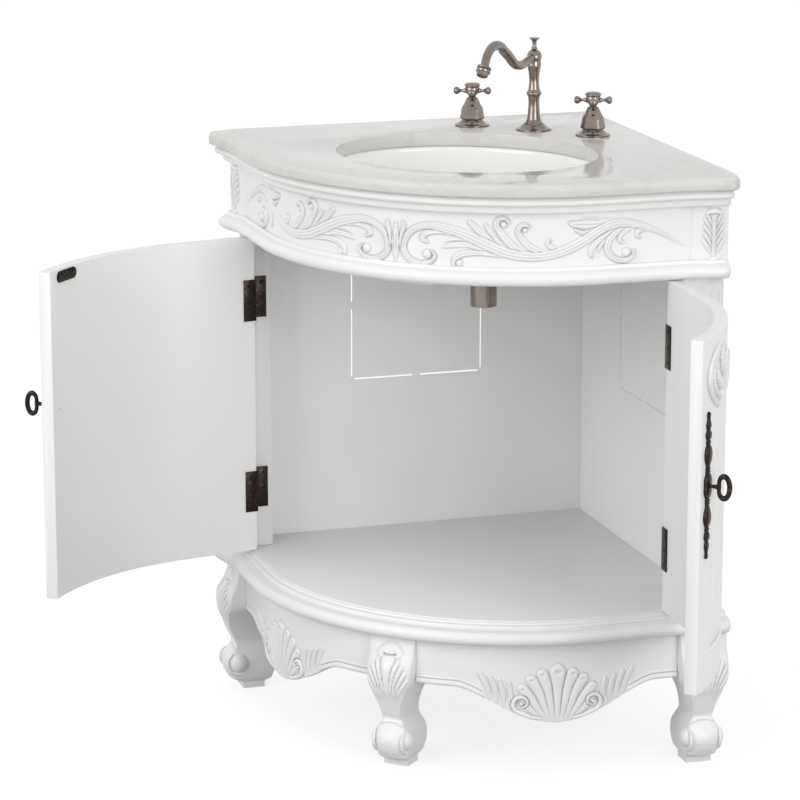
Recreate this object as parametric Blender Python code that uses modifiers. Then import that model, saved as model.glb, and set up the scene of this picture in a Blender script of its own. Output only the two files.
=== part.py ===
# Quarter-round corner vanity: marble top, undermount oval sink, widespread faucet and a two-door cabinet
# on cabriole legs. Metres, +Z up, front towards -Y. The origin is on the floor under the rear leg's middle.
# Plan places are given from the corner where the cabinet's two back planes meet: "along" one of them, and
# "off" it towards the room. The countertop, base moulding and legs reach a little behind those planes.

import math

import bmesh
import bpy
from mathutils import Matrix, Vector

# Driving sizes of the plan
WALL_SIDE = 0.604
ARC_INSET = 0.188
CLEARANCE = 0.0003
OVERRUN = 0.010

# Heights, from the floor up
LEG_HEIGHT = 0.2027
BASE_RISE = 0.0315
FLOOR_THICKNESS = 0.018
OPENING_HEIGHT = 0.4930
TORUS_HEIGHT = 0.0269
FRIEZE_HEIGHT = 0.1045
TOP_MOULDING_HEIGHT = 0.026
COUNTER_THICKNESS = 0.020

# The countertop, base moulding and front legs stand this far behind the back panels
BACK_OVERHANG = 0.007

# Fronts swell outward as they run over the corner posts, and the side legs stand out with them
COUNTER_SWELL = 0.011
TOP_MOULDING_SWELL = 0.010
TORUS_SWELL = 0.017
BASE_SWELL = 0.012
POST_SWELL = 0.009
LEG_SWELL = 0.009

# How far each front stands behind the countertop's edge
TOP_MOULDING_SETBACK = 0.007
FRIEZE_SETBACK = 0.034
TORUS_SETBACK = 0.018
PILASTER_SETBACK = 0.038
DOOR_SETBACK = 0.039
FLOOR_SETBACK = 0.032
APRON_SETBACK = 0.026
LEG_SETBACK = 0.023

# Boards
FRIEZE_THICKNESS = 0.018
APRON_THICKNESS = 0.020
PANEL_THICKNESS = 0.006
POST_BACK_ALONG = 0.5350
BLOCK_WIDTH = 0.0534
PILASTER_WIDTH = 0.0630

# Where the swelling fronts turn, as shares of the post block's width off the back plane
SWELL_STATION_SHARES = [1.6, 1.3, 1.0, 0.67, 0.33]

# Doors and their hinges
DOOR_THICKNESS = 0.0185
DOOR_GAP = 0.0015
PIN_OFF_WALL = 0.0660
PIN_PROUD = 0.0030
HINGE_HEIGHT = 0.0640
HINGE_BELOW_HEAD = 0.0975
HINGE_ABOVE_FLOOR = 0.0955
LEFT_DOOR_OPEN_DEG = 80.1
RIGHT_DOOR_OPEN_DEG = 88.4

# Legs
LEG_WIDTH = 0.072
LEG_DEPTH = 0.060
KNEE_BULGE = 0.028
REAR_LEG_SIZE = 0.045
REAR_LEG_INSET = 0.008

# Sink and drain
SINK_BEHIND_FRIEZE = 0.0131
SINK_HALF_WIDTH = 0.198
SINK_HALF_DEPTH = 0.168
BOWL_DEPTH = 0.135
BOWL_REVEAL = 0.002
FLANGE_WIDTH = 0.022
DRAIN_BEHIND_MIDDLE = 0.0598
STOPPER_LIFT = 0.008

# Faucet
FAUCET_SPACING = 0.2032
SPOUT_BEHIND_SINK = 0.0618
HANDLE_BEHIND_SINK = 0.0558
HANDLE_TURN_DEG = 24.0

ROUND_STEPS = 20
NUT_STEPS = 12
ARC_STEPS = 12
CORNER_STEPS = 4

# Values that follow from the sizes above
ROOT2 = math.sqrt(2)
REAR_LEG_MIDDLE = REAR_LEG_INSET + REAR_LEG_SIZE / 2
WALL_CORNER_Y = REAR_LEG_MIDDLE * ROOT2
ARC_CENTRE_Y = WALL_CORNER_Y - ROOT2 * ARC_INSET
QUARTER = math.pi / 4

base_bottom = LEG_HEIGHT + CLEARANCE
floor_top = base_bottom + BASE_RISE
floor_bottom = floor_top - FLOOR_THICKNESS
head_bottom = floor_top + OPENING_HEIGHT
frieze_top = head_bottom + FRIEZE_HEIGHT
counter_bottom = frieze_top + TOP_MOULDING_HEIGHT
counter_top = counter_bottom + COUNTER_THICKNESS

frieze_reach = WALL_SIDE - FRIEZE_SETBACK
frieze_back = frieze_reach - FRIEZE_THICKNESS
pilaster_reach = WALL_SIDE - PILASTER_SETBACK
door_reach = WALL_SIDE - DOOR_SETBACK
floor_reach = WALL_SIDE - FLOOR_SETBACK
apron_reach = WALL_SIDE - APRON_SETBACK
leg_reach = WALL_SIDE - LEG_SETBACK
pin_reach = door_reach + PIN_PROUD
upper_hinge_middle = head_bottom - HINGE_BELOW_HEAD
lower_hinge_middle = floor_top + HINGE_ABOVE_FLOOR

SIDES = {"left": -1, "right": 1}


# Scene and collections
for old in list(bpy.data.objects):
    bpy.data.objects.remove(old, do_unlink=True)

parts = bpy.data.collections.new("corner_vanity")
bpy.context.scene.collection.children.link(parts)
cutters = bpy.data.collections.new("cutters")
bpy.context.scene.collection.children.link(cutters)


# Materials
def material(name, colour, roughness, metallic):
    made = bpy.data.materials.new(name)
    made.use_nodes = True
    shader = made.node_tree.nodes["Principled BSDF"]
    shader.inputs["Base Color"].default_value = (*colour, 1)
    shader.inputs["Roughness"].default_value = roughness
    shader.inputs["Metallic"].default_value = metallic
    return made


white_paint = material("white_paint", (0.85, 0.85, 0.84), 0.35, 0)
marble = material("cream_marble", (0.86, 0.84, 0.80), 0.15, 0)
ceramic = material("white_ceramic", (0.88, 0.88, 0.87), 0.08, 0)
nickel = material("brushed_nickel", (0.42, 0.37, 0.33), 0.30, 1)
bronze = material("dark_bronze", (0.07, 0.05, 0.04), 0.40, 1)
brass = material("threaded_brass", (0.55, 0.45, 0.28), 0.35, 1)


# Places in the plan
def plan(side, along, off):
    """A point on the floor plan, measured along a wall and off it; side is 1 for right, -1 for left."""
    return Vector((side * (along - off) / ROOT2, WALL_CORNER_Y - (along + off) / ROOT2, 0))


def arc_length(reach):
    """Length of the bowed front from the middle plane to where it runs straight to the wall."""
    return (reach - ARC_INSET) * QUARTER


def wrap(side, reach, across, deep, height):
    """Lays a flat pattern on the bowed front: across from the middle plane, deep behind the face."""
    radius = reach - ARC_INSET
    bowed = arc_length(reach)
    if across <= bowed:
        turn = across / radius
        x = (radius - deep) * math.sin(turn)
        y = ARC_CENTRE_Y - (radius - deep) * math.cos(turn)
        return Vector((side * x, y, height))
    point = plan(side, reach - deep, ARC_INSET - (across - bowed))
    point.z = height
    return point


def swell(amount, off):
    """How much further out a front stands at this distance off the back plane."""
    nearness = min(1, max(0, 1 - off / (BLOCK_WIDTH * SWELL_STATION_SHARES[0])))
    return amount * nearness * nearness * (3 - 2 * nearness)


def post_swell(off):
    """How far the post block's rounded face stands in front of the frieze."""
    nearness = min(1, max(0, 1 - off / BLOCK_WIDTH) / SWELL_STATION_SHARES[3])
    return POST_SWELL * math.sin(nearness * math.pi / 2)


def corner_cut(radius, off, end):
    """How far a rounded end draws in at this distance off the back plane."""
    left = radius - (off - end)
    if left <= 0:
        return 0
    return radius - math.sqrt(max(0, radius * radius - left * left))


def bore_around(radius, steps=ROUND_STEPS):
    """Radius of a faceted bore whose flats clear a round shaft."""
    return (radius + CLEARANCE) / math.cos(math.pi / steps)


# Making and joining meshes
def add_object(name, mesh, finish, collection=parts):
    made = bpy.data.objects.new(name, mesh)
    collection.objects.link(made)
    if finish:
        mesh.materials.clear()
        mesh.materials.append(finish)
    return made


def from_bmesh(name, bm, finish, collection=parts):
    bm.normal_update()
    bmesh.ops.recalc_face_normals(bm, faces=bm.faces[:])
    mesh = bpy.data.meshes.new(name)
    bm.to_mesh(mesh)
    bm.free()
    return add_object(name, mesh, finish, collection)


def smooth(obj, angle_deg=35):
    obj.data.shade_smooth()
    obj.data.set_sharp_from_angle(angle=math.radians(angle_deg))


def hide(obj):
    """Keeps a cutter out of the render and out of the part."""
    for collection in list(obj.users_collection):
        collection.objects.unlink(obj)
    cutters.objects.link(obj)
    obj.hide_render = True
    obj.display_type = "WIRE"


def boolean(obj, tool, operation="DIFFERENCE"):
    hide(tool)
    step = obj.modifiers.new(operation.lower(), "BOOLEAN")
    step.operation = operation
    step.solver = "EXACT"
    step.object = tool


def bevel(obj, width, segments=2, angle_deg=30):
    step = obj.modifiers.new("eased_edges", "BEVEL")
    step.width = width
    step.segments = segments
    step.limit_method = "ANGLE"
    step.angle_limit = math.radians(angle_deg)


def bake(obj):
    """Turns an object with its modifiers, or a curve, into a plain mesh object under the same name."""
    bpy.context.view_layer.update()
    depsgraph = bpy.context.evaluated_depsgraph_get()
    mesh = bpy.data.meshes.new_from_object(obj.evaluated_get(depsgraph))
    bm = bmesh.new()
    bm.from_mesh(mesh)
    bmesh.ops.remove_doubles(bm, verts=bm.verts[:], dist=CLEARANCE / 30)
    bm.to_mesh(mesh)
    bm.free()
    name = obj.name
    matrix = obj.matrix_world.copy()
    tools = [step.object for step in obj.modifiers if step.type == "BOOLEAN"]
    collection = obj.users_collection[0]
    bpy.data.objects.remove(obj)
    for tool in tools:
        bpy.data.objects.remove(tool)
    made = bpy.data.objects.new(name, mesh)
    collection.objects.link(made)
    made.matrix_world = matrix
    return made


def outline_points(points, low, high, name, finish, collection=parts):
    """A straight-sided solid on a flat outline, from one height to another."""
    bm = bmesh.new()
    corners = [bm.verts.new((point[0], point[1], low)) for point in points]
    face = bm.faces.new(corners)
    grown = bmesh.ops.extrude_face_region(bm, geom=[face])
    raised = [item for item in grown["geom"] if isinstance(item, bmesh.types.BMVert)]
    bmesh.ops.translate(bm, verts=raised, vec=(0, 0, high - low))
    return from_bmesh(name, bm, finish, collection)


def wall_block(name, side, along, off, heights, finish, collection=parts):
    """A rectangular block square to one wall, between two distances along, off and up."""
    bm = bmesh.new()
    bmesh.ops.create_cube(bm, size=1)
    size = Vector((along[1] - along[0], off[1] - off[0], heights[1] - heights[0]))
    middle = plan(side, (along[0] + along[1]) / 2, (off[0] + off[1]) / 2)
    middle.z = (heights[0] + heights[1]) / 2
    bmesh.ops.scale(bm, vec=size, verts=bm.verts[:])
    bmesh.ops.rotate(bm, matrix=Matrix.Rotation(-side * QUARTER, 3, "Z"), verts=bm.verts[:])
    bmesh.ops.translate(bm, vec=middle, verts=bm.verts[:])
    return from_bmesh(name, bm, finish, collection)


def turned(name, profile, place, finish, steps=ROUND_STEPS, closed=False, collection=parts):
    """A turned shape: the profile is (radius, height) down its outer side, spun about its own upright axis."""
    mesh = bpy.data.meshes.new(name)
    count = len(profile)
    edges = [(i, i + 1) for i in range(count - 1)]
    if closed:
        edges.append((count - 1, 0))
    mesh.from_pydata([(radius, 0, height) for radius, height in profile], edges, [])
    made = add_object(name, mesh, finish, collection)
    made.location = place
    spin = made.modifiers.new("turned", "SCREW")
    spin.steps = steps
    spin.render_steps = steps
    spin.use_merge_vertices = True
    spin.merge_threshold = CLEARANCE / 10
    spin.use_smooth_shade = True
    return made


def moulding(name, profile, finish, swell_out, swell_in=None, end=0, end_radius=0):
    """A moulding that follows the front from end to end; the profile is (reach along the wall, height).

    Its outer side swells by swell_out over the posts, and its inner side by the function swell_in.
    """
    bm = bmesh.new()
    ring = [bm.verts.new((0, ARC_CENTRE_Y - (reach - ARC_INSET), height)) for reach, height in profile]
    count = len(ring)
    edges = [bm.edges.new((ring[i], ring[(i + 1) % count])) for i in range(count)]
    spun = bmesh.ops.spin(
        bm,
        geom=ring + edges,
        cent=(0, ARC_CENTRE_Y, 0),
        axis=(0, 0, 1),
        angle=QUARTER,
        steps=ARC_STEPS,
    )
    reaches = [reach for reach, height in profile]
    inner = min(reaches)
    depth = max(reaches) - inner
    last = [item for item in spun["geom_last"] if isinstance(item, bmesh.types.BMEdge)]
    off = ARC_INSET
    for station in swell_stations(end, end_radius):
        grown = bmesh.ops.extrude_edge_only(bm, edges=last)
        moved = [item for item in grown["geom"] if isinstance(item, bmesh.types.BMVert)]
        last = [item for item in grown["geom"] if isinstance(item, bmesh.types.BMEdge)]
        last = [edge for edge in last if edge.verts[0] in moved and edge.verts[1] in moved]
        bmesh.ops.translate(bm, verts=moved, vec=plan(1, 0, station) - plan(1, 0, off))
        off = station
    bmesh.ops.edgeloop_fill(bm, edges=last)
    for vert in bm.verts:
        along, off = plan_place(vert.co)
        if off >= ARC_INSET:
            continue
        outness = (along - inner) / depth
        out = swell(swell_out, off) - corner_cut(end_radius, off, end)
        kept = swell_in(off) if swell_in else 0
        vert.co += plan(1, kept + (out - kept) * outness, 0) - plan(1, 0, 0)
    made = from_bmesh(name, bm, finish)
    mirror = made.modifiers.new("other_side", "MIRROR")
    mirror.merge_threshold = CLEARANCE / 10
    return made


def plan_place(point):
    """Distances along and off the back plane of a point on the right half."""
    down = WALL_CORNER_Y - point.y
    return (point.x + down) / ROOT2, (down - point.x) / ROOT2


def swell_stations(end, end_radius):
    """Places off the back plane where a swelling front turns, from the bow to its end."""
    places = [BLOCK_WIDTH * share for share in SWELL_STATION_SHARES]
    for i in range(CORNER_STEPS + 1):
        places.append(end + end_radius * (1 - math.sin(math.pi / 2 * i / CORNER_STEPS)))
    return places


def arc_points(centre, radius, start_deg, end_deg, steps):
    """Points of a round stretch in a profile, from one angle to another."""
    points = []
    for i in range(steps + 1):
        angle = math.radians(start_deg + (end_deg - start_deg) * i / steps)
        points.append((centre[0] + radius * math.cos(angle), centre[1] + radius * math.sin(angle)))
    return points


def front_outline(reach, end=0, swell_out=0, end_radius=0):
    """The plan of a quarter-round board: round the front from its right end to its left end."""
    points = []
    if swell_out:
        for station in reversed(swell_stations(end, end_radius)):
            out = swell(swell_out, station) - corner_cut(end_radius, station, end)
            points.append(plan(1, reach + out, station))
    else:
        points.append(plan(1, reach, end))
    for i in range(ARC_STEPS + 1):
        points.append(wrap(1, reach, arc_length(reach) * (1 - i / ARC_STEPS), 0, 0))
    points = [(point[0], point[1]) for point in points]
    left = [(-x, y) for x, y in reversed(points[:-1])]
    return points + left


def bent_board(name, side, reach, flat, stations, finish):
    """Cuts a flat pattern into narrow strips and lays it on the bowed front."""
    for across in stations:
        bmesh.ops.bisect_plane(
            flat,
            geom=flat.verts[:] + flat.edges[:] + flat.faces[:],
            dist=CLEARANCE / 30,
            plane_co=(across, 0, 0),
            plane_no=(1, 0, 0),
        )
    for vert in flat.verts:
        vert.co = wrap(side, reach, vert.co.x, vert.co.y, vert.co.z)
    return from_bmesh(name, flat, finish)


def bow_stations(reach, start, end):
    """Places across a bent board where it turns, between its two ends."""
    places = [arc_length(reach) * i / ARC_STEPS for i in range(1, ARC_STEPS + 1)]
    return [place for place in places if start + CLEARANCE < place < end - CLEARANCE]


def ellipse(half_width, half_depth, middle_y, steps):
    points = []
    for i in range(steps):
        turn = 2 * math.pi * i / steps
        points.append((half_width * math.cos(turn), middle_y + half_depth * math.sin(turn)))
    return points


# Countertop: one marble slab with eased nosing, an oval sink cut-out and three faucet holes
COUNTER_CORNER_RADIUS = 0.016
COUNTER_NOSING = 0.004
FAUCET_HOLE_RADIUS = 0.0165
SINK_STEPS = 48

sink_front = ARC_CENTRE_Y - (frieze_back - ARC_INSET) + SINK_BEHIND_FRIEZE + FLANGE_WIDTH + BOWL_REVEAL
sink_y = sink_front + SINK_HALF_DEPTH
spout_place = Vector((0, sink_y + SINK_HALF_DEPTH + SPOUT_BEHIND_SINK, 0))
handle_places = {
    side_name: Vector((side * FAUCET_SPACING / 2, sink_y + SINK_HALF_DEPTH + HANDLE_BEHIND_SINK, 0))
    for side_name, side in SIDES.items()
}


def make_countertop():
    outline = front_outline(WALL_SIDE, -BACK_OVERHANG, COUNTER_SWELL, COUNTER_CORNER_RADIUS)
    outline.append((0, plan(1, -BACK_OVERHANG, -BACK_OVERHANG).y))
    slab = outline_points(outline, counter_bottom + CLEARANCE, counter_top, "countertop", marble)
    bevel(slab, COUNTER_NOSING, 3, 50)
    slab = bake(slab)
    oval = ellipse(SINK_HALF_WIDTH, SINK_HALF_DEPTH, sink_y, SINK_STEPS)
    hole = outline_points(oval, counter_bottom - OVERRUN, counter_top + OVERRUN, "sink_cutter", None, cutters)
    boolean(slab, hole)
    for place in [spout_place, *handle_places.values()]:
        drill = turned(
            "faucet_drill",
            [
                (0, counter_top + OVERRUN),
                (FAUCET_HOLE_RADIUS, counter_top + OVERRUN),
                (FAUCET_HOLE_RADIUS, counter_bottom - OVERRUN),
                (0, counter_bottom - OVERRUN),
            ],
            place,
            None,
        )
        boolean(slab, drill)


make_countertop()

# Sink: an oval ceramic bowl, its flange held up against the underside of the marble
BOWL_WALL = 0.008
DRAIN_HOLE_RADIUS = 0.0225
DRAIN_FLANGE_RADIUS = 0.0285
DRAIN_NUT_RADIUS = 0.0290
BOWL_STEPS = 32
# Each ring of the bowl: share of the depth, share of the width left, share of the way to the drain
BOWL_RING_SHARES = [
    (0.00, 1.00, 0.00),
    (0.18, 0.985, 0.02),
    (0.40, 0.95, 0.06),
    (0.62, 0.87, 0.14),
    (0.80, 0.74, 0.30),
    (0.92, 0.54, 0.55),
    (0.98, 0.32, 0.85),
]

drain_y = sink_y + DRAIN_BEHIND_MIDDLE
bowl_top = counter_bottom - CLEARANCE
bowl_floor = bowl_top - BOWL_DEPTH


def make_sink():
    half_width = SINK_HALF_WIDTH + BOWL_REVEAL
    half_depth = SINK_HALF_DEPTH + BOWL_REVEAL
    rings = [(bowl_top, half_width + FLANGE_WIDTH, half_depth + FLANGE_WIDTH, sink_y)]
    for depth_share, width_share, drain_share in BOWL_RING_SHARES:
        middle = sink_y + (drain_y - sink_y) * drain_share
        height = bowl_top - BOWL_DEPTH * depth_share
        rings.append((height, half_width * width_share, half_depth * width_share, middle))
    seat_radius = max(DRAIN_FLANGE_RADIUS, DRAIN_NUT_RADIUS) + BOWL_REVEAL
    rings.append((bowl_floor, seat_radius, seat_radius, drain_y))
    rings.append((bowl_floor, DRAIN_HOLE_RADIUS, DRAIN_HOLE_RADIUS, drain_y))
    bm = bmesh.new()
    loops = []
    for height, wide, deep, middle in rings:
        verts = [bm.verts.new((x, y, height)) for x, y in ellipse(wide, deep, middle, BOWL_STEPS)]
        loops.append([bm.edges.new((verts[i], verts[(i + 1) % BOWL_STEPS])) for i in range(BOWL_STEPS)])
    for upper, lower in zip(loops, loops[1:]):
        bmesh.ops.bridge_loops(bm, edges=upper + lower)
    bmesh.ops.recalc_face_normals(bm, faces=bm.faces[:])
    facing_up = sum(face.normal.z * face.calc_area() for face in bm.faces)
    if facing_up < 0:
        bmesh.ops.reverse_faces(bm, faces=bm.faces[:])
    mesh = bpy.data.meshes.new("sink_bowl")
    bm.to_mesh(mesh)
    bm.free()
    bowl = add_object("sink_bowl", mesh, ceramic)
    wall = bowl.modifiers.new("wall", "SOLIDIFY")
    wall.thickness = BOWL_WALL
    wall.offset = -1
    wall.use_even_offset = True
    smooth(bowl)


make_sink()

# Drain: flanged body through the bowl, clamping nut, tailpiece sleeve and lifting stopper
DRAIN_FLANGE_THICKNESS = 0.003
DRAIN_BODY_RADIUS = 0.0185
DRAIN_BORE_RADIUS = 0.0150
DRAIN_BODY_LENGTH = 0.066
DRAIN_NUT_HEIGHT = 0.012
TAILPIECE_RADIUS = 0.0200
TAILPIECE_COLLAR_RADIUS = 0.0215
TAILPIECE_COLLAR_HEIGHT = 0.007
TAILPIECE_LENGTH = 0.046
TAILPIECE_TOP_BELOW_BOWL = 0.040
STOPPER_RADIUS = 0.0190
STOPPER_CROWN = 0.003
STOPPER_CROWN_SHARES = (0.7, 0.6)
STOPPER_EDGE = 0.003
STOPPER_STEM_RADIUS = 0.004
STOPPER_GUIDE_HEIGHT = 0.008
STOPPER_STEM_LENGTH = 0.030


def make_drain():
    place = Vector((0, drain_y, 0))
    flange_low = bowl_floor + CLEARANCE
    flange_high = flange_low + DRAIN_FLANGE_THICKNESS
    body_low = flange_high - DRAIN_BODY_LENGTH
    turned(
        "drain_body",
        [
            (DRAIN_BORE_RADIUS, flange_high - DRAIN_FLANGE_THICKNESS / 2),
            (DRAIN_FLANGE_RADIUS - DRAIN_FLANGE_THICKNESS, flange_high),
            (DRAIN_FLANGE_RADIUS, flange_low),
            (DRAIN_BODY_RADIUS, flange_low),
            (DRAIN_BODY_RADIUS, body_low),
            (DRAIN_BORE_RADIUS, body_low),
        ],
        place,
        nickel,
        closed=True,
    )
    nut_high = bowl_floor - BOWL_WALL - CLEARANCE
    turned(
        "drain_nut",
        [
            (bore_around(DRAIN_BODY_RADIUS), nut_high),
            (DRAIN_NUT_RADIUS, nut_high),
            (DRAIN_NUT_RADIUS, nut_high - DRAIN_NUT_HEIGHT),
            (bore_around(DRAIN_BODY_RADIUS), nut_high - DRAIN_NUT_HEIGHT),
        ],
        place,
        brass,
        closed=True,
    )
    sleeve_high = bowl_floor - TAILPIECE_TOP_BELOW_BOWL
    sleeve_low = sleeve_high - TAILPIECE_LENGTH
    collar_low = sleeve_high - TAILPIECE_COLLAR_HEIGHT
    turned(
        "drain_tailpiece",
        [
            (bore_around(DRAIN_BODY_RADIUS), sleeve_high),
            (TAILPIECE_COLLAR_RADIUS, sleeve_high),
            (TAILPIECE_COLLAR_RADIUS, collar_low),
            (TAILPIECE_RADIUS, collar_low),
            (TAILPIECE_RADIUS, sleeve_low),
            (bore_around(DRAIN_BODY_RADIUS), sleeve_low),
        ],
        place,
        nickel,
        closed=True,
    )
    head_low = flange_high + STOPPER_LIFT + CLEARANCE
    guide_radius = DRAIN_BORE_RADIUS - CLEARANCE
    stem_low = head_low - STOPPER_STEM_LENGTH
    crown_across, crown_up = STOPPER_CROWN_SHARES
    stopper = turned(
        "drain_stopper",
        [
            (0, head_low + STOPPER_EDGE + STOPPER_CROWN),
            (STOPPER_RADIUS * crown_across, head_low + STOPPER_EDGE + STOPPER_CROWN * crown_up),
            (STOPPER_RADIUS, head_low + STOPPER_EDGE),
            (STOPPER_RADIUS, head_low),
            (STOPPER_STEM_RADIUS, head_low),
            (STOPPER_STEM_RADIUS, stem_low),
            (0, stem_low),
        ],
        place,
        nickel,
    )
    stopper = bake(stopper)
    guide = turned(
        "stopper_guide",
        [
            (0, stem_low + STOPPER_GUIDE_HEIGHT),
            (guide_radius, stem_low + STOPPER_GUIDE_HEIGHT),
            (guide_radius, stem_low + STOPPER_GUIDE_HEIGHT / 2),
            (0, stem_low + STOPPER_GUIDE_HEIGHT / 2),
        ],
        place,
        None,
        steps=4,
    )
    boolean(stopper, guide, "UNION")


make_drain()

# Faucet spout: round escutcheon, turned column with a ball, curved tube, aerator and pop-up lift rod
SPOUT_ESCUTCHEON_RADIUS = 0.0270
ESCUTCHEON_HEIGHT = 0.0095
COLUMN_HEIGHT = 0.1235
BALL_RADIUS = 0.0115
BALL_NECK_DEG = -58
COLUMN_RADIUS = 0.0115
COLUMN_FOOT_RADIUS = 0.0145
SHANK_RADIUS = 0.0130
SHANK_LENGTH = 0.055
LOCK_NUT_RADIUS = 0.0240
LOCK_NUT_HEIGHT = 0.012
ROD_RADIUS = 0.0020
ROD_LENGTH = 0.185
ROD_BORE_RADIUS = 0.0024
FINIAL_RADIUS = 0.0060
FINIAL_HEIGHT = 0.0175
TUBE_RADIUS = 0.0060
TUBE_SIDES = 3
AERATOR_RADIUS = 0.0110
AERATOR_LENGTH = 0.016
# Column: share of its height above the escutcheon, share of its largest radius, down from the ball
COLUMN_SHARES = [
    (0.815, 0.52),
    (0.795, 0.92),
    (0.775, 0.96),
    (0.750, 0.66),
    (0.660, 0.70),
    (0.560, 0.80),
    (0.480, 0.95),
    (0.440, 1.06),
    (0.400, 1.02),
    (0.360, 0.84),
    (0.270, 0.76),
    (0.200, 0.80),
    (0.140, 0.96),
    (0.090, 1.08),
    (0.040, 1.00),
    (0.000, 1.10),
]
# Escutcheon: share of its height, share of its radius, down its outer side
ESCUTCHEON_SHARES = [
    (1.00, 0.62),
    (0.78, 0.70),
    (0.66, 0.86),
    (0.60, 0.94),
    (0.40, 1.00),
    (0.00, 1.00),
]
# Lift rod's finial: share of its height, share of its radius
FINIAL_SHARES = [
    (1.00, 0.00),
    (0.96, 0.45),
    (0.82, 0.80),
    (0.68, 0.62),
    (0.58, 0.55),
    (0.42, 0.98),
    (0.26, 1.00),
    (0.10, 0.70),
    (0.00, 0.62),
]
# Aerator: share of its length below the tube's end, share of its radius
AERATOR_SHARES = [
    (0.12, 0.80),
    (0.24, 0.80),
    (0.30, 0.66),
    (0.44, 0.72),
    (0.72, 1.00),
    (1.00, 1.00),
    (1.00, 0.80),
    (0.85, 0.80),
    (0.85, 0.00),
]
# Spout tube: places along it, forward of the column and up from the counter, as points on a curve
TUBE_START = (0.0050, 0.1115)
TUBE_DIP = (0.0600, 0.1065)
TUBE_RISE = (0.0960, 0.1280)
TUBE_CREST = (0.1315, 0.1468)
TUBE_TURN = (0.1600, 0.1370)
TUBE_END = (0.1710, 0.1190)

ball_middle = counter_top + COLUMN_HEIGHT - BALL_RADIUS
escutcheon_top = counter_top + CLEARANCE + ESCUTCHEON_HEIGHT


def escutcheon(name, radius, bore, place):
    profile = [
        (radius * radius_share, counter_top + CLEARANCE + ESCUTCHEON_HEIGHT * height_share)
        for height_share, radius_share in ESCUTCHEON_SHARES
    ]
    low = counter_top + CLEARANCE
    profile += [(bore, low), (bore, escutcheon_top)]
    return turned(name, profile, place, nickel, closed=True)


def lock_nut(name, place):
    high = counter_bottom - CLEARANCE
    bore = bore_around(SHANK_RADIUS, NUT_STEPS)
    turned(
        name,
        [
            (bore, high),
            (LOCK_NUT_RADIUS, high),
            (LOCK_NUT_RADIUS, high - LOCK_NUT_HEIGHT),
            (bore, high - LOCK_NUT_HEIGHT),
        ],
        place,
        brass,
        steps=NUT_STEPS,
        closed=True,
    )


def make_spout():
    escutcheon("spout_escutcheon", SPOUT_ESCUTCHEON_RADIUS, bore_around(SHANK_RADIUS), spout_place)
    foot = escutcheon_top + CLEARANCE
    tall = ball_middle - foot
    column_top = ball_middle + BALL_RADIUS
    bore_edge_deg = math.degrees(math.acos(ROD_BORE_RADIUS / BALL_RADIUS))
    ball = arc_points((0, ball_middle), BALL_RADIUS, bore_edge_deg, BALL_NECK_DEG, 9)
    neck = [(COLUMN_RADIUS * radius_share, foot + tall * height_share)
            for height_share, radius_share in COLUMN_SHARES]
    shank_low = counter_bottom - SHANK_LENGTH
    profile = ball + neck + [
        (COLUMN_FOOT_RADIUS, foot),
        (SHANK_RADIUS, foot),
        (SHANK_RADIUS, shank_low),
        (ROD_BORE_RADIUS, shank_low),
    ]
    turned("spout_column", profile, spout_place, nickel, closed=True)
    lock_nut("spout_lock_nut", spout_place)
    seat = column_top + CLEARANCE
    finial = [(FINIAL_RADIUS * radius_share, seat + FINIAL_HEIGHT * height_share)
              for height_share, radius_share in FINIAL_SHARES]
    rod = [(ROD_RADIUS, seat), (ROD_RADIUS, seat - ROD_LENGTH), (0, seat - ROD_LENGTH)]
    turned("lift_rod", finial + rod, spout_place, nickel, steps=12)


def tube_point(place):
    forward, up = place
    return Vector((0, spout_place.y - forward, counter_top + up))


def make_tube():
    curve = bpy.data.curves.new("spout_tube", "CURVE")
    curve.dimensions = "3D"
    curve.resolution_u = 4
    curve.render_resolution_u = 4
    curve.bevel_depth = TUBE_RADIUS
    curve.bevel_resolution = TUBE_SIDES
    curve.use_fill_caps = True
    route = [tube_point(place) for place in (TUBE_START, TUBE_DIP, TUBE_RISE, TUBE_CREST, TUBE_TURN, TUBE_END)]
    spline = curve.splines.new("BEZIER")
    spline.bezier_points.add(len(route) - 1)
    for bezier, point in zip(spline.bezier_points, route):
        bezier.co = point
        bezier.handle_left_type = "AUTO"
        bezier.handle_right_type = "AUTO"
    tube = bake(add_object("spout_tube", curve, None))
    tube.data.materials.append(nickel)
    bm = bmesh.new()
    bmesh.ops.create_uvsphere(bm, u_segments=ROUND_STEPS, v_segments=ROUND_STEPS // 2,
                              radius=BALL_RADIUS + CLEARANCE)
    bmesh.ops.translate(bm, verts=bm.verts[:], vec=(0, spout_place.y, ball_middle))
    boolean(tube, from_bmesh("ball_cutter", bm, None, cutters))
    aim = tube_point(TUBE_END) - tube_point(TUBE_TURN)
    lean = math.atan2(-aim.y, -aim.z)
    mouth = [(AERATOR_RADIUS * radius_share, -AERATOR_LENGTH * length_share)
             for length_share, radius_share in AERATOR_SHARES]
    aerator = turned(
        "spout_aerator",
        [(0, -CLEARANCE), (TUBE_RADIUS, -CLEARANCE), *mouth],
        tube_point(TUBE_END),
        nickel,
        steps=16,
    )
    aerator.rotation_euler = (-lean, 0, 0)


make_spout()
make_tube()

# Faucet handles: escutcheon, hexagonal bell and turning four-armed cross, over a threaded valve shank
HANDLE_ESCUTCHEON_RADIUS = 0.0262
BELL_HEIGHT = 0.0330
BELL_RADIUS = 0.0190
BELL_SIDES = 6
CROSS_HEIGHT = 0.0230
HUB_RADIUS = 0.0085
ARM_REACH = 0.0290
ARM_BALL_RADIUS = 0.0057
ARM_LEVEL_SHARE = 0.45
# Bell: share of its height, share of its radius
BELL_SHARES = [(1.00, 0.46), (0.86, 0.50), (0.60, 0.62), (0.35, 0.82), (0.14, 0.98), (0.00, 1.00)]
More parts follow.
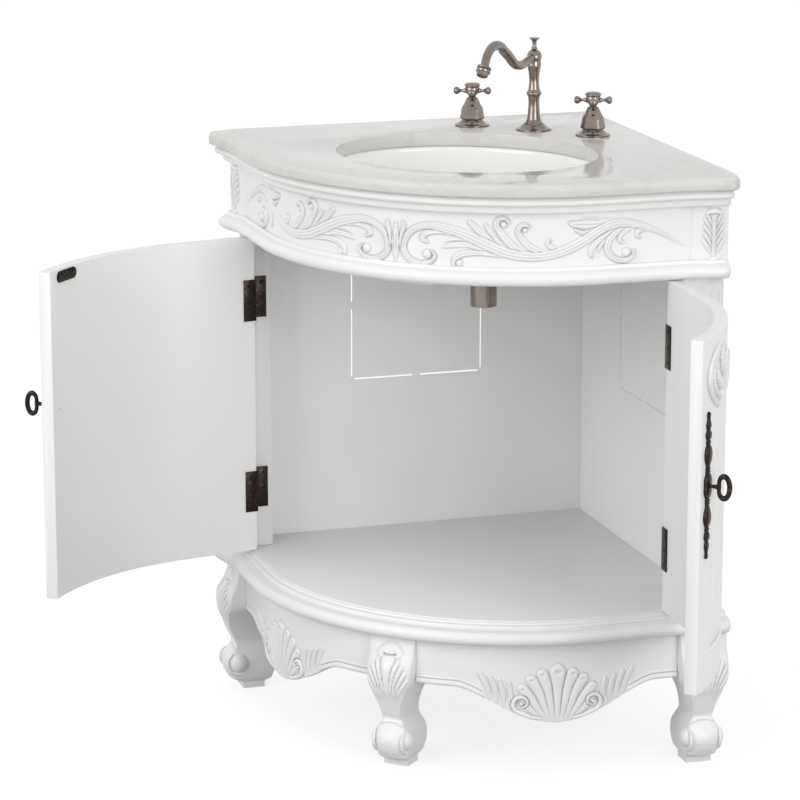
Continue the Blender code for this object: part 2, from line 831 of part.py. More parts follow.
# Cross hub: share of its height, share of its radius
HUB_SHARES = [
    (1.00, 0.00),
    (0.97, 0.55),
    (0.86, 0.86),
    (0.72, 0.80),
    (0.66, 1.00),
    (0.24, 1.00),
    (0.16, 0.72),
    (0.00, 0.80),
]
# Cross arm: share of its length from the hub's axis, share of its ball's radius
ARM_SHARES = [
    (1.00, 0.00),
    (0.985, 0.45),
    (0.93, 0.85),
    (0.86, 1.00),
    (0.76, 0.80),
    (0.70, 0.58),
    (0.55, 0.62),
    (0.35, 0.74),
    (0.10, 0.78),
]


def make_handle(side_name, place):
    escutcheon(f"{side_name}_handle_escutcheon", HANDLE_ESCUTCHEON_RADIUS, bore_around(SHANK_RADIUS), place)
    bell_low = escutcheon_top + CLEARANCE
    stem_radius = SHANK_RADIUS / 2
    bell = [(BELL_RADIUS * radius_share, bell_low + BELL_HEIGHT * height_share)
            for height_share, radius_share in BELL_SHARES]
    bore = bore_around(stem_radius, BELL_SIDES)
    inner = [(bore, bell_low), (bore, bell_low + BELL_HEIGHT)]
    shell = turned(f"{side_name}_handle_bell", bell + inner, place, nickel, steps=BELL_SIDES, closed=True)
    shell.rotation_euler = (0, 0, math.radians(HANDLE_TURN_DEG))
    shank_low = counter_bottom - SHANK_LENGTH
    shank_high = bell_low - CLEARANCE
    turned(
        f"{side_name}_valve_shank",
        [
            (0, bell_low + BELL_HEIGHT - CLEARANCE),
            (stem_radius, bell_low + BELL_HEIGHT - CLEARANCE),
            (stem_radius, shank_high),
            (SHANK_RADIUS, shank_high),
            (SHANK_RADIUS, shank_low),
            (stem_radius, shank_low),
            (stem_radius, counter_bottom),
            (0, counter_bottom),
        ],
        place,
        brass,
        steps=16,
    )
    lock_nut(f"{side_name}_lock_nut", place)
    cross_low = bell_low + BELL_HEIGHT + CLEARANCE
    hub = turned(
        f"{side_name}_handle_cross",
        [(HUB_RADIUS * radius_share, CROSS_HEIGHT * height_share) for height_share, radius_share in HUB_SHARES]
        + [(0, 0)],
        (0, 0, 0),
        nickel,
        steps=16,
    )
    hub = bake(hub)
    for turn in range(4):
        arm = turned(
            "arm_cutter",
            [(ARM_BALL_RADIUS * radius_share, ARM_REACH * length_share)
             for length_share, radius_share in ARM_SHARES] + [(0, ARM_REACH * ARM_SHARES[-1][0])],
            (0, 0, CROSS_HEIGHT * ARM_LEVEL_SHARE),
            None,
            steps=10,
        )
        arm.rotation_euler = (math.pi / 2, 0, turn * math.pi / 2)
        boolean(hub, arm, "UNION")
    hub = bake(hub)
    hub.location = (place.x, place.y, cross_low)
    hub.rotation_euler = (0, 0, math.radians(HANDLE_TURN_DEG))
    smooth(hub)


for side_name in SIDES:
    make_handle(side_name, handle_places[side_name])

# Top moulding: two rounded steps that carry the marble
STEP_HEIGHT = 0.0125
LOWER_STEP_SETBACK = 0.018
STEP_ROUND = 0.005
MOULDING_END_RADIUS = 0.010


def make_top_moulding():
    low = frieze_top + CLEARANCE
    high = counter_bottom - CLEARANCE
    middle = low + STEP_HEIGHT
    lower = WALL_SIDE - LOWER_STEP_SETBACK
    upper = WALL_SIDE - TOP_MOULDING_SETBACK
    profile = [(frieze_back, low), (lower - 2 * STEP_ROUND, low)]
    profile += arc_points((lower - STEP_ROUND, low + STEP_ROUND), STEP_ROUND, -60, 0, 4)
    profile += [(lower, middle)]
    profile += [(upper - STEP_ROUND, middle)]
    profile += arc_points((upper - STEP_ROUND, middle + STEP_ROUND), STEP_ROUND, -60, 60, 5)
    profile += [(upper - STEP_ROUND, high), (frieze_back, high)]
    moulding("top_moulding", profile, white_paint, TOP_MOULDING_SWELL, None, 0, MOULDING_END_RADIUS)


make_top_moulding()


# Frieze: the bowed board between the corner posts, above the doors
def make_frieze():
    end = arc_length(frieze_reach) + ARC_INSET - BLOCK_WIDTH - CLEARANCE
    bm = bmesh.new()
    corners = [(0, 0), (0, FRIEZE_THICKNESS), (end, FRIEZE_THICKNESS), (end, 0)]
    low = head_bottom + CLEARANCE
    face = bm.faces.new([bm.verts.new((across, deep, low)) for across, deep in corners])
    grown = bmesh.ops.extrude_face_region(bm, geom=[face])
    raised = [item for item in grown["geom"] if isinstance(item, bmesh.types.BMVert)]
    bmesh.ops.translate(bm, verts=raised, vec=(0, 0, frieze_top - low))
    middle_faces = [f for f in bm.faces if all(abs(vert.co.x) < CLEARANCE for vert in f.verts)]
    bmesh.ops.delete(bm, geom=middle_faces, context="FACES_ONLY")
    board = bent_board("frieze_board", 1, frieze_reach, bm, bow_stations(frieze_reach, 0, end), white_paint)
    mirror = board.modifiers.new("other_side", "MIRROR")
    mirror.merge_threshold = CLEARANCE / 10


make_frieze()

# Torus rail: the half-round moulding with a small fillet along the frieze's lower edge, over the posts
TORUS_FILLET = 0.005
TORUS_ROUND = (TORUS_HEIGHT - TORUS_FILLET) / 2
TORUS_END_RADIUS = 0.014


def make_torus_rail():
    inner = frieze_reach + CLEARANCE
    outer = WALL_SIDE - TORUS_SETBACK
    fillet = outer - TORUS_ROUND
    high = head_bottom + TORUS_HEIGHT
    profile = [(inner, head_bottom)]
    profile += arc_points((outer - TORUS_ROUND, head_bottom + TORUS_ROUND), TORUS_ROUND, -90, 90, 8)
    profile += [(fillet, high), (inner, high)]
    moulding("torus_rail", profile, white_paint, TORUS_SWELL, post_swell, 0, TORUS_END_RADIUS)


make_torus_rail()

# Corner posts: a plain block beside the frieze over a fluted pilaster, each post one piece
FLUTE_COUNT = 5
FLUTE_RADIUS = 0.0034
FLUTE_DEPTH = 0.0020
FLUTE_MARGIN = 0.0085
FLUTE_END_MARGIN = 0.022


def make_post(side_name, side):
    low = floor_top + CLEARANCE
    name = f"{side_name}_post"
    post = wall_block(
        name, side, (POST_BACK_ALONG, pilaster_reach), (0, PILASTER_WIDTH), (low, head_bottom), white_paint
    )
    turns = [off for off in swell_stations(0, TORUS_END_RADIUS) if off < BLOCK_WIDTH + CLEARANCE]
    face = [plan(side, frieze_reach + post_swell(off), off) for off in turns]
    back = [plan(side, POST_BACK_ALONG, 0), plan(side, POST_BACK_ALONG, BLOCK_WIDTH)]
    block = outline_points(face + back, head_bottom - OVERRUN, frieze_top, "post_block", None)
    pitch = (PILASTER_WIDTH - 2 * FLUTE_MARGIN) / (FLUTE_COUNT - 1)
    for i in range(FLUTE_COUNT):
        off = FLUTE_MARGIN + pitch * i
        place = plan(side, pilaster_reach + FLUTE_RADIUS - FLUTE_DEPTH, off)
        flute = turned(
            "flute_cutter",
            [
                (0, head_bottom - FLUTE_END_MARGIN),
                (FLUTE_RADIUS, head_bottom - FLUTE_END_MARGIN - FLUTE_RADIUS),
                (FLUTE_RADIUS, low + FLUTE_END_MARGIN + FLUTE_RADIUS),
                (0, low + FLUTE_END_MARGIN),
            ],
            place,
            None,
            steps=12,
        )
        boolean(post, flute)
    post = bake(post)
    cap = wall_block(
        "pilaster_head", side, (pilaster_reach, frieze_reach + POST_SWELL + OVERRUN),
        (-OVERRUN, PILASTER_WIDTH + OVERRUN), (head_bottom - 2 * OVERRUN, head_bottom), None,
    )
    boolean(block, cap)
    block = bake(block)
    boolean(post, block, "UNION")


for side_name, side in SIDES.items():
    make_post(side_name, side)

# Back panels: thin boards on both walls, each with a knock-out for the plumbing held by small tabs.
# The knock-out's heights are above the cabinet floor.
KNOCKOUT_NEAR = 0.176
KNOCKOUT_FAR = 0.388
KNOCKOUT_LOW = 0.2405
KNOCKOUT_HIGH = 0.4655
SLOT_WIDTH = 0.0035
TAB_LENGTH = 0.012
SIDE_TAB_HEIGHT = 0.3580


def make_panel(side_name, side, near):
    panel = wall_block(
        f"{side_name}_back_panel", side, (near, POST_BACK_ALONG - CLEARANCE), (0, PANEL_THICKNESS),
        (base_bottom, counter_bottom - CLEARANCE), white_paint,
    )
    half = SLOT_WIDTH / 2
    middle = (KNOCKOUT_NEAR + KNOCKOUT_FAR) / 2
    tab = TAB_LENGTH / 2
    low = floor_top + KNOCKOUT_LOW
    high = floor_top + KNOCKOUT_HIGH
    side_tab = floor_top + SIDE_TAB_HEIGHT
    slots = []
    for height in (low, high):
        slots.append(((KNOCKOUT_NEAR + SLOT_WIDTH, middle - tab), (height - half, height + half)))
        slots.append(((middle + tab, KNOCKOUT_FAR - SLOT_WIDTH), (height - half, height + half)))
    for along in (KNOCKOUT_NEAR, KNOCKOUT_FAR):
        slots.append(((along - half, along + half), (low + SLOT_WIDTH, side_tab - tab)))
        slots.append(((along - half, along + half), (side_tab + tab, high - SLOT_WIDTH)))
    for along, heights in slots:
        slot = wall_block("slot_cutter", side, along, (-OVERRUN, PANEL_THICKNESS + OVERRUN), heights, None)
        boolean(panel, slot)


make_panel("left", -1, 0)
make_panel("right", 1, PANEL_THICKNESS + CLEARANCE)


# Cabinet floor: a quarter-round board inside the back panels, under the posts and doors
def make_floor():
    inset = PANEL_THICKNESS + CLEARANCE
    outline = front_outline(floor_reach, inset)
    outline.append((0, plan(1, inset, inset).y))
    outline_points(outline, floor_bottom, floor_top, "cabinet_floor", white_paint)


make_floor()

# Base moulding: rebated under the floor's front edge, then step, bead, cove and a large half-round
BASE_TORUS_ROUND = 0.0105
BEAD_ROUND = 0.0028
BEAD_SETBACK = 0.0200
BASE_REBATE_DEPTH = 0.027
STEP_DROP = 0.003
BASE_END_RADIUS = 0.014


def make_base_moulding():
    outer = WALL_SIDE
    bead = outer - BEAD_SETBACK
    torus_middle = (outer - BASE_TORUS_ROUND, base_bottom + BASE_TORUS_ROUND)
    torus_top = base_bottom + 2 * BASE_TORUS_ROUND
    bead_middle = torus_top + BEAD_ROUND
    under_floor = floor_bottom - CLEARANCE
    front_of_floor = floor_reach + CLEARANCE
    profile = [(floor_reach - BASE_REBATE_DEPTH, base_bottom)]
    profile += arc_points(torus_middle, BASE_TORUS_ROUND, -90, 90, 8)
    profile += arc_points((bead - BEAD_ROUND, bead_middle), BEAD_ROUND, -60, 90, 4)
    profile += [
        (front_of_floor + STEP_DROP, bead_middle + BEAD_ROUND),
        (front_of_floor + STEP_DROP, floor_top - STEP_DROP),
        (front_of_floor, floor_top - STEP_DROP / 2),
        (front_of_floor, under_floor),
        (floor_reach - BASE_REBATE_DEPTH, under_floor),
    ]
    moulding("base_moulding", profile, white_paint, BASE_SWELL, None, -BACK_OVERHANG, BASE_END_RADIUS)


make_base_moulding()

# Aprons: bowed boards between the legs, their lower edges dropping into one broad lobe each
APRON_EDGE_DROP = 0.0687
LOBE_DROP = 0.0525
LOBE_HALF_WIDTH = 0.150
LOBE_MIDDLE = 0.245
LOBE_ROUNDNESS = 1.75
APRON_STEPS = 26


def apron_edge(across):
    away = abs(across - LOBE_MIDDLE) / LOBE_HALF_WIDTH
    straight = LEG_HEIGHT - APRON_EDGE_DROP
    if away >= 1:
        return straight
    return straight - LOBE_DROP * (1 - away ** 2) ** LOBE_ROUNDNESS


def make_apron(side_name, side):
    start = LEG_WIDTH / 2 - OVERRUN
    end = arc_length(apron_reach) + ARC_INSET + BACK_OVERHANG - LEG_WIDTH - CLEARANCE
    stations = [start + (end - start) * i / APRON_STEPS for i in range(APRON_STEPS + 1)]
    high = LEG_HEIGHT
    bm = bmesh.new()
    lower = [bm.verts.new((across, 0, apron_edge(across))) for across in stations]
    upper = [bm.verts.new((across, 0, high)) for across in stations]
    for i in range(APRON_STEPS):
        bm.faces.new((lower[i], lower[i + 1], upper[i + 1], upper[i]))
    grown = bmesh.ops.extrude_face_region(bm, geom=bm.faces[:])
    pushed = [item for item in grown["geom"] if isinstance(item, bmesh.types.BMVert)]
    bmesh.ops.translate(bm, verts=pushed, vec=(0, APRON_THICKNESS, 0))
    apron = bent_board(f"{side_name}_apron", side, apron_reach, bm, [], white_paint)
    trimmed = bmesh.new()
    trimmed.from_mesh(apron.data)
    cut = bmesh.ops.bisect_plane(
        trimmed,
        geom=trimmed.verts[:] + trimmed.edges[:] + trimmed.faces[:],
        dist=CLEARANCE / 30,
        plane_co=(side * (LEG_WIDTH / 2 + CLEARANCE), 0, 0),
        plane_no=(-side, 0, 0),
        clear_outer=True,
    )
    open_edges = [item for item in cut["geom_cut"] if isinstance(item, bmesh.types.BMEdge)]
    bmesh.ops.edgeloop_fill(trimmed, edges=open_edges)
    bmesh.ops.recalc_face_normals(trimmed, faces=trimmed.faces[:])
    trimmed.to_mesh(apron.data)
    trimmed.free()


for side_name, side in SIDES.items():
    make_apron(side_name, side)

# Cabriole legs: a square block, a knee that swells forward, a slim ankle, a scrolled foot and a pad
# Each level: shares of the height, of the knee's bulge for the face and its crown, of the depth, of the width
LEG_LEVEL_SHARES = [
    (1.000, 0.00, 0.00, 0.95, 1.000),
    (0.930, 0.00, 0.08, 0.95, 1.000),
    (0.860, 0.05, 0.32, 0.95, 1.000),
    (0.790, 0.22, 0.50, 0.95, 1.000),
    (0.720, 0.38, 0.42, 0.95, 0.980),
    (0.650, 0.48, 0.30, 0.95, 0.920),
    (0.590, 0.50, 0.22, 0.93, 0.740),
    (0.535, 0.44, 0.12, 0.87, 0.620),
    (0.475, 0.32, 0.06, 0.85, 0.520),
    (0.415, 0.16, 0.04, 0.86, 0.460),
    (0.360, 0.00, 0.04, 0.90, 0.440),
    (0.325, 0.02, 0.22, 0.93, 0.540),
    (0.280, 0.06, 0.44, 0.97, 0.670),
    (0.225, 0.08, 0.58, 1.00, 0.710),
    (0.165, 0.06, 0.56, 0.99, 0.710),
    (0.110, -0.02, 0.46, 0.94, 0.670),
    (0.068, -0.14, 0.26, 0.86, 0.600),
    (0.050, -0.35, 0.00, 0.73, 0.536),
    (0.000, -0.35, 0.00, 0.73, 0.536),
]
LEG_FRONT_POINTS = 7
CROWN_POWER = 0.8
VOLUTE_SPAN = 0.0570
VOLUTE_RADIUS = 0.0145
VOLUTE_ROUND = 0.0050
VOLUTE_HEIGHT = 0.0420
VOLUTE_FORWARD = -0.0040


def leg_mesh(name, place, facing, finish):
    """A leg in its own frame, block face at y = 0 and front towards -y, then turned and put in place."""
    bm = bmesh.new()
    loops = []
    for height_share, face_share, crown_share, depth_share, width_share in LEG_LEVEL_SHARES:
        half = LEG_WIDTH / 2 * width_share
        face = KNEE_BULGE * face_share
        crown = KNEE_BULGE * crown_share
        back = LEG_DEPTH * depth_share
        ring = []
        for i in range(LEG_FRONT_POINTS):
            turn = math.pi * (i / (LEG_FRONT_POINTS - 1) - 1 / 2)
            forward = face + crown * max(0, math.cos(turn)) ** CROWN_POWER
            ring.append((half * math.sin(turn), -forward))
        ring += [(half, back / 2), (half, back), (0, back), (-half, back), (-half, back / 2)]
        verts = [bm.verts.new((x, y, LEG_HEIGHT * height_share)) for x, y in ring]
        loops.append([bm.edges.new((verts[i], verts[(i + 1) % len(verts)])) for i in range(len(verts))])
    for upper, lower in zip(loops, loops[1:]):
        bmesh.ops.bridge_loops(bm, edges=upper + lower)
    bmesh.ops.edgeloop_fill(bm, edges=loops[0])
    bmesh.ops.edgeloop_fill(bm, edges=loops[-1])
    leg = from_bmesh(name, bm, finish)
    end = VOLUTE_SPAN / 2
    profile = arc_points((VOLUTE_RADIUS - VOLUTE_ROUND, end - VOLUTE_ROUND), VOLUTE_ROUND, 90, 0, 3)
    profile = [(0, end), *profile, *((radius, -up) for radius, up in reversed(profile)), (0, -end)]
    volute = turned("volute_cutter", profile, (0, -VOLUTE_FORWARD, VOLUTE_HEIGHT), None, steps=16)
    volute.rotation_euler = (0, math.pi / 2, 0)
    boolean(leg, volute, "UNION")
    leg = bake(leg)
    leg.location = place
    leg.rotation_euler = (0, 0, facing)
    smooth(leg, 50)


leg_mesh("centre_leg", (0, ARC_CENTRE_Y - (leg_reach - ARC_INSET), 0), 0, white_paint)
for side_name, side in SIDES.items():
    side_place = plan(side, leg_reach + LEG_SWELL, LEG_WIDTH / 2 - BACK_OVERHANG)
    leg_mesh(f"{side_name}_leg", side_place, side * QUARTER, white_paint)


# Rear leg: a plain square post in the hidden corner, under the cabinet floor
def make_rear_leg():
    span = (REAR_LEG_INSET, REAR_LEG_INSET + REAR_LEG_SIZE)
    wall_block("rear_leg", 1, span, span, (0, floor_bottom - CLEARANCE), white_paint)


make_rear_leg()

# Doors: bowed boards with an arched raised panel, drawn closed and then swung open about their pins
DOOR_STILE = 0.052
DOOR_RAIL = 0.052
PANEL_ARCH_RISE = 0.050
PANEL_GROOVE = 0.010
PANEL_GROOVE_DEPTH = 0.003
HINGE_SIDE_GAP = 0.0025
LEAF_THICKNESS = 0.0015
LEAF_WIDTH = 0.0190
BARREL_RADIUS = 0.0034
BARREL_TIP = 0.0040
# Barrel tip: share of its length, share of the barrel's radius
BARREL_TIP_SHARES = [(1.0, 0.0), (0.8, 0.6), (0.3, 0.8), (0.0, 1.0)]
STRIKE_WIDTH = 0.057
STRIKE_HEIGHT = 0.017
STRIKE_THICKNESS = 0.0015
STRIKE_FROM_MIDDLE = 0.052
STRIKE_BELOW_TOP = 0.0115

door_bottom = floor_top + DOOR_GAP
door_top = head_bottom - DOOR_GAP
door_across_start = DOOR_GAP / 2
door_across_end = arc_length(door_reach) + ARC_INSET - PIN_OFF_WALL - HINGE_SIDE_GAP
door_turns = {"left": -math.radians(LEFT_DOOR_OPEN_DEG), "right": math.radians(RIGHT_DOOR_OPEN_DEG)}


def make_pivot(side_name, side):
    pivot = bpy.data.objects.new(f"{side_name}_door_pivot", None)
    parts.objects.link(pivot)
    pivot.location = plan(side, pin_reach, PIN_OFF_WALL)
    pivot.rotation_euler = (0, 0, door_turns[side_name])
    return pivot


def hang(obj, pivot):
    """Puts a piece that is drawn in the closed position on the door's pivot."""
    obj = bake(obj)
    obj.data.transform(Matrix.Translation(-pivot.location) @ obj.matrix_world)
    obj.matrix_world = Matrix.Identity(4)
    obj.parent = pivot
    return obj


def panel_outline(margin):
    """The raised panel's outline in the flat, drawn in from the door's edges, with an arched top."""
    left = door_across_start + DOOR_STILE + margin
    right = door_across_end - DOOR_STILE - margin
    low = door_bottom + DOOR_RAIL + margin
    spring = door_top - DOOR_RAIL - PANEL_ARCH_RISE - margin
    rise = PANEL_ARCH_RISE
    half = (right - left) / 2
    middle = (right + left) / 2
    radius = (half ** 2 + rise ** 2) / (2 * rise)
    sweep = math.asin(half / radius)
    points = [(left, low), (right, low)]
    for i in range(9):
        turn = sweep * (1 - 2 * i / 8)
        points.append((middle + radius * math.sin(turn), spring + rise - radius * (1 - math.cos(turn))))
    return points


def flat_prism(points, deep_from, deep_to, name, collection=parts):
    """A solid on an upright outline, from one depth behind the door's face to another."""
    bm = bmesh.new()
    face = bm.faces.new([bm.verts.new((across, deep_from, height)) for across, height in points])
    grown = bmesh.ops.extrude_face_region(bm, geom=[face])
    pushed = [item for item in grown["geom"] if isinstance(item, bmesh.types.BMVert)]
    bmesh.ops.translate(bm, verts=pushed, vec=(0, deep_to - deep_from, 0))
    return from_bmesh(name, bm, None, collection)


def make_door(side_name, side, pivot):
    corners = [
        (door_across_start, door_bottom),
        (door_across_end, door_bottom),
        (door_across_end, door_top),
        (door_across_start, door_top),
    ]
    flat = flat_prism(corners, 0, DOOR_THICKNESS, f"{side_name}_door_flat")
    groove = flat_prism(panel_outline(0), -OVERRUN, PANEL_GROOVE_DEPTH, "groove_cutter")
    field = flat_prism(panel_outline(PANEL_GROOVE), -2 * OVERRUN, DOOR_THICKNESS, "field_cutter")
    boolean(groove, field)
    groove = bake(groove)
    boolean(flat, groove)
    flat = bake(flat)
    bm = bmesh.new()
    bm.from_mesh(flat.data)
    bpy.data.objects.remove(flat)
    stations = bow_stations(door_reach, door_across_start, door_across_end)
    door = bent_board(f"{side_name}_door", side, door_reach, bm, stations, white_paint)
    hang(door, pivot)


def make_hinge(side_name, side, level, middle, pivot):
    low = middle - HINGE_HEIGHT / 2
    high = middle + HINGE_HEIGHT / 2
    name = f"{side_name}_{level}_hinge"
    barrel_place = plan(side, pin_reach, PIN_OFF_WALL)
    upper_tip = [(BARREL_RADIUS * radius_share, high + BARREL_TIP * length_share)
                 for length_share, radius_share in BARREL_TIP_SHARES]
    lower_tip = [(radius, low + high - up) for radius, up in reversed(upper_tip)]
    turned(
        f"{name}_pin",
        upper_tip + lower_tip,
        barrel_place,
        bronze,
        steps=12,
    )
    jamb_far = pin_reach - BARREL_RADIUS - CLEARANCE
    jamb_near = jamb_far - LEAF_WIDTH - PIN_PROUD
    off = PILASTER_WIDTH + CLEARANCE
    wall_block(f"{name}_jamb_leaf", side, (jamb_near, jamb_far), (off, off + LEAF_THICKNESS), (low, high), bronze)
    edge_off = PIN_OFF_WALL + HINGE_SIDE_GAP - CLEARANCE
    back = door_reach - DOOR_THICKNESS - CLEARANCE
    edge_leaf = wall_block(
        f"{name}_door_leaf", side, (back - LEAF_THICKNESS, door_reach - BARREL_RADIUS),
        (edge_off - LEAF_THICKNESS, edge_off), (low, high), bronze,
    )
    face_leaf = wall_block(
        "face_leaf", side, (back - LEAF_THICKNESS, back),
        (edge_off - LEAF_THICKNESS, edge_off + LEAF_WIDTH), (low, high), None,
    )
    boolean(edge_leaf, face_leaf, "UNION")
    hang(edge_leaf, pivot)


def pill_outline(width, height, steps=8):
    """A flat bar with round ends, about its own middle."""
    radius = height / 2
    straight = width / 2 - radius
    return arc_points((straight, 0), radius, -90, 90, steps) + arc_points((-straight, 0), radius, 90, 270, steps)


def make_strike(side_name, side, pivot):
    flat = bmesh.new()
    middle_height = door_top - STRIKE_BELOW_TOP
    back = DOOR_THICKNESS + CLEARANCE
    outline = [(STRIKE_FROM_MIDDLE + x, middle_height + z) for x, z in pill_outline(STRIKE_WIDTH, STRIKE_HEIGHT)]
    face = flat.faces.new([flat.verts.new((across, back, height)) for across, height in outline])
    grown = bmesh.ops.extrude_face_region(flat, geom=[face])
    pushed = [item for item in grown["geom"] if isinstance(item, bmesh.types.BMVert)]
    bmesh.ops.translate(flat, verts=pushed, vec=(0, STRIKE_THICKNESS, 0))
    stations = bow_stations(door_reach, STRIKE_FROM_MIDDLE - STRIKE_WIDTH / 2,
                            STRIKE_FROM_MIDDLE + STRIKE_WIDTH / 2)
    strike = bent_board(f"{side_name}_strike_plate", side, door_reach, flat, stations, bronze)
    hang(strike, pivot)


# Pulls: a long baluster-shaped plate on each door's face with an upright key bow standing out of it
PULL_FROM_MIDDLE = 0.0215
PULL_ABOVE_FLOOR = 0.2905
PULL_PLATE_LENGTH = 0.203
PULL_PLATE_WIDTH = 0.022
PULL_PLATE_THICKNESS = 0.0035
BOW_REACH = 0.0330
BOW_HEIGHT = 0.0380
BOW_WIDTH = 0.0240
BOW_THICKNESS = 0.0050
BOW_RIM = 0.0062
BOW_STEM_RADIUS = 0.0025
BOW_STEM_FOOT_RADIUS = 0.0042
pull_height = floor_top + PULL_ABOVE_FLOOR
# Plate's outline: share of its length from the middle, share of its width
PULL_PLATE_SHARES = [
    (0.00, 0.80),
    (0.10, 0.55),
    (0.16, 1.00),
    (0.24, 0.50),
    (0.42, 0.34),
    (0.56, 0.62),
    (0.64, 0.30),
    (0.78, 0.46),
    (0.88, 0.30),
    (0.94, 0.56),
    (1.00, 0.10),
]


def make_pull(side_name, side, pivot):
    half_length = PULL_PLATE_LENGTH / 2
    half_width = PULL_PLATE_WIDTH / 2
    edge = [(half_width * width, half_length * share) for share, width in PULL_PLATE_SHARES]
    right = [(x, -z) for x, z in reversed(edge[1:])] + edge
    left = [(-x, z) for x, z in reversed(right)]
    outline = [(PULL_FROM_MIDDLE + x, pull_height + z) for x, z in right + left]
    flat = bmesh.new()
    face = flat.faces.new([flat.verts.new((across, -CLEARANCE, height)) for across, height in outline])
    grown = bmesh.ops.extrude_face_region(flat, geom=[face])
    pushed = [item for item in grown["geom"] if isinstance(item, bmesh.types.BMVert)]
    bmesh.ops.translate(flat, verts=pushed, vec=(0, -PULL_PLATE_THICKNESS, 0))
    plate = bent_board(f"{side_name}_pull_plate", side, door_reach, flat, [], bronze)
    hang(plate, pivot)
    make_bow(side_name, side, pivot)


def make_bow(side_name, side, pivot):
    """The key bow, drawn round its own stem, which points out of the door's face."""
    out = PULL_PLATE_THICKNESS + 2 * CLEARANCE
    middle = out + BOW_REACH - BOW_WIDTH / 2
    steps = 16
    outer = [(middle + x, z) for x, z in ellipse(BOW_WIDTH / 2, BOW_HEIGHT / 2, 0, steps)]
    inner = [(middle + x, z) for x, z in ellipse(BOW_WIDTH / 2 - BOW_RIM, BOW_HEIGHT / 2 - BOW_RIM, 0, steps)]
    half = BOW_THICKNESS / 2
    bow = outline_points(outer, -half, half, f"{side_name}_pull_bow", bronze)
    boolean(bow, outline_points(inner, -half - OVERRUN, half + OVERRUN, "bow_hole", None))
    stem = turned(
        "bow_stem",
        [
            (0, middle - BOW_WIDTH / 2 + BOW_RIM / 2),
            (BOW_STEM_RADIUS, middle - BOW_WIDTH / 2 + BOW_RIM / 2),
            (BOW_STEM_RADIUS, out + BOW_STEM_FOOT_RADIUS),
            (BOW_STEM_FOOT_RADIUS, out),
            (0, out),
        ],
        (0, 0, 0),
        None,
        steps=10,
    )
    stem.rotation_euler = (0, math.pi / 2, 0)
    boolean(bow, stem, "UNION")
    bow = bake(bow)
    turn = PULL_FROM_MIDDLE / (door_reach - ARC_INSET)
    foot = wrap(side, door_reach, PULL_FROM_MIDDLE, 0, pull_height)
    upright = Matrix.Rotation(math.pi / 2, 4, "X")
    outward = Matrix.Rotation(-math.pi / 2 + side * turn, 4, "Z")
    bow.matrix_world = Matrix.Translation(foot) @ outward @ upright
    hang(bow, pivot)


for side_name, side in SIDES.items():
    door_pivot = make_pivot(side_name, side)
    make_door(side_name, side, door_pivot)
    make_hinge(side_name, side, "upper", upper_hinge_middle, door_pivot)
    make_hinge(side_name, side, "lower", lower_hinge_middle, door_pivot)
    make_strike(side_name, side, door_pivot)
    make_pull(side_name, side, door_pivot)

# Door catch: a painted block with magnets, screwed to the frieze's back, which both strike plates meet
CATCH_WIDTH = 0.090
CATCH_DEPTH = 0.020
CATCH_DROP = 0.009
CATCH_RISE = 0.026


def make_catch():
    touch = door_reach - DOOR_THICKNESS - CLEARANCE - STRIKE_THICKNESS - 2 * CLEARANCE
    recess = frieze_back - touch
    ledge = head_bottom + CLEARANCE
    section = [
        (recess, head_bottom - CATCH_DROP),
        (CATCH_DEPTH, head_bottom - CATCH_DROP),
        (CATCH_DEPTH, head_bottom + CATCH_RISE),
        (CLEARANCE, head_bottom + CATCH_RISE),
        (CLEARANCE, ledge),
        (recess, ledge),
    ]
    half = CATCH_WIDTH / 2
    flat = bmesh.new()
    face = flat.faces.new([flat.verts.new((-half, deep, height)) for deep, height in section])
    grown = bmesh.ops.extrude_face_region(flat, geom=[face])
    pushed = [item for item in grown["geom"] if isinstance(item, bmesh.types.BMVert)]
    bmesh.ops.translate(flat, verts=pushed, vec=(CATCH_WIDTH, 0, 0))
    stations = [-half / 2, 0, half / 2]
    bent_board("door_catch", 1, frieze_back, flat, stations, white_paint)


make_catch()
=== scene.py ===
import math

import bpy
import numpy as np
from mathutils import Matrix, Vector


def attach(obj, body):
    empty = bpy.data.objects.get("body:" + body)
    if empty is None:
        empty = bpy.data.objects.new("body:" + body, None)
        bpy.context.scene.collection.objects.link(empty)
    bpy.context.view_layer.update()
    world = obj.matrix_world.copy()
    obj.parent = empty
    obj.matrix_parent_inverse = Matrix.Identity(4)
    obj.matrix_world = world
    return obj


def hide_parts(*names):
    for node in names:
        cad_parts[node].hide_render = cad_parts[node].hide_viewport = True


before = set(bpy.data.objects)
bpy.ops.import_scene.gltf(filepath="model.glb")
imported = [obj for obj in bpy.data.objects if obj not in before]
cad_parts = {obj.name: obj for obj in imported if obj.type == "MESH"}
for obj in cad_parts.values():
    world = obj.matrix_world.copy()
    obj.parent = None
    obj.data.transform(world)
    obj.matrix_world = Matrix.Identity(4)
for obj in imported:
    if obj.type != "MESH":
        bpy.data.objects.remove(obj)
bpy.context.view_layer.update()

# Camera: a long lens above the counter and to the right of the vanity, tilted a little downwards, without
# roll or shift.
CAMERA_PLACE = (2.2584, -4.92617, 1.7378)
CAMERA_TILT = 0.2386
CAMERA_TURN = 0.4804
CAMERA_LENS = 157.457
camera_data = bpy.data.cameras.new("product_camera")
camera_data.sensor_width = 36
camera_data.lens = CAMERA_LENS
camera = bpy.data.objects.new("product_camera", camera_data)
bpy.context.scene.collection.objects.link(camera)
camera.location = CAMERA_PLACE
camera.rotation_euler = (math.pi / 2 - CAMERA_TILT, 0, CAMERA_TURN)
bpy.context.scene.camera = camera
bpy.context.scene.view_settings.view_transform = "Standard"


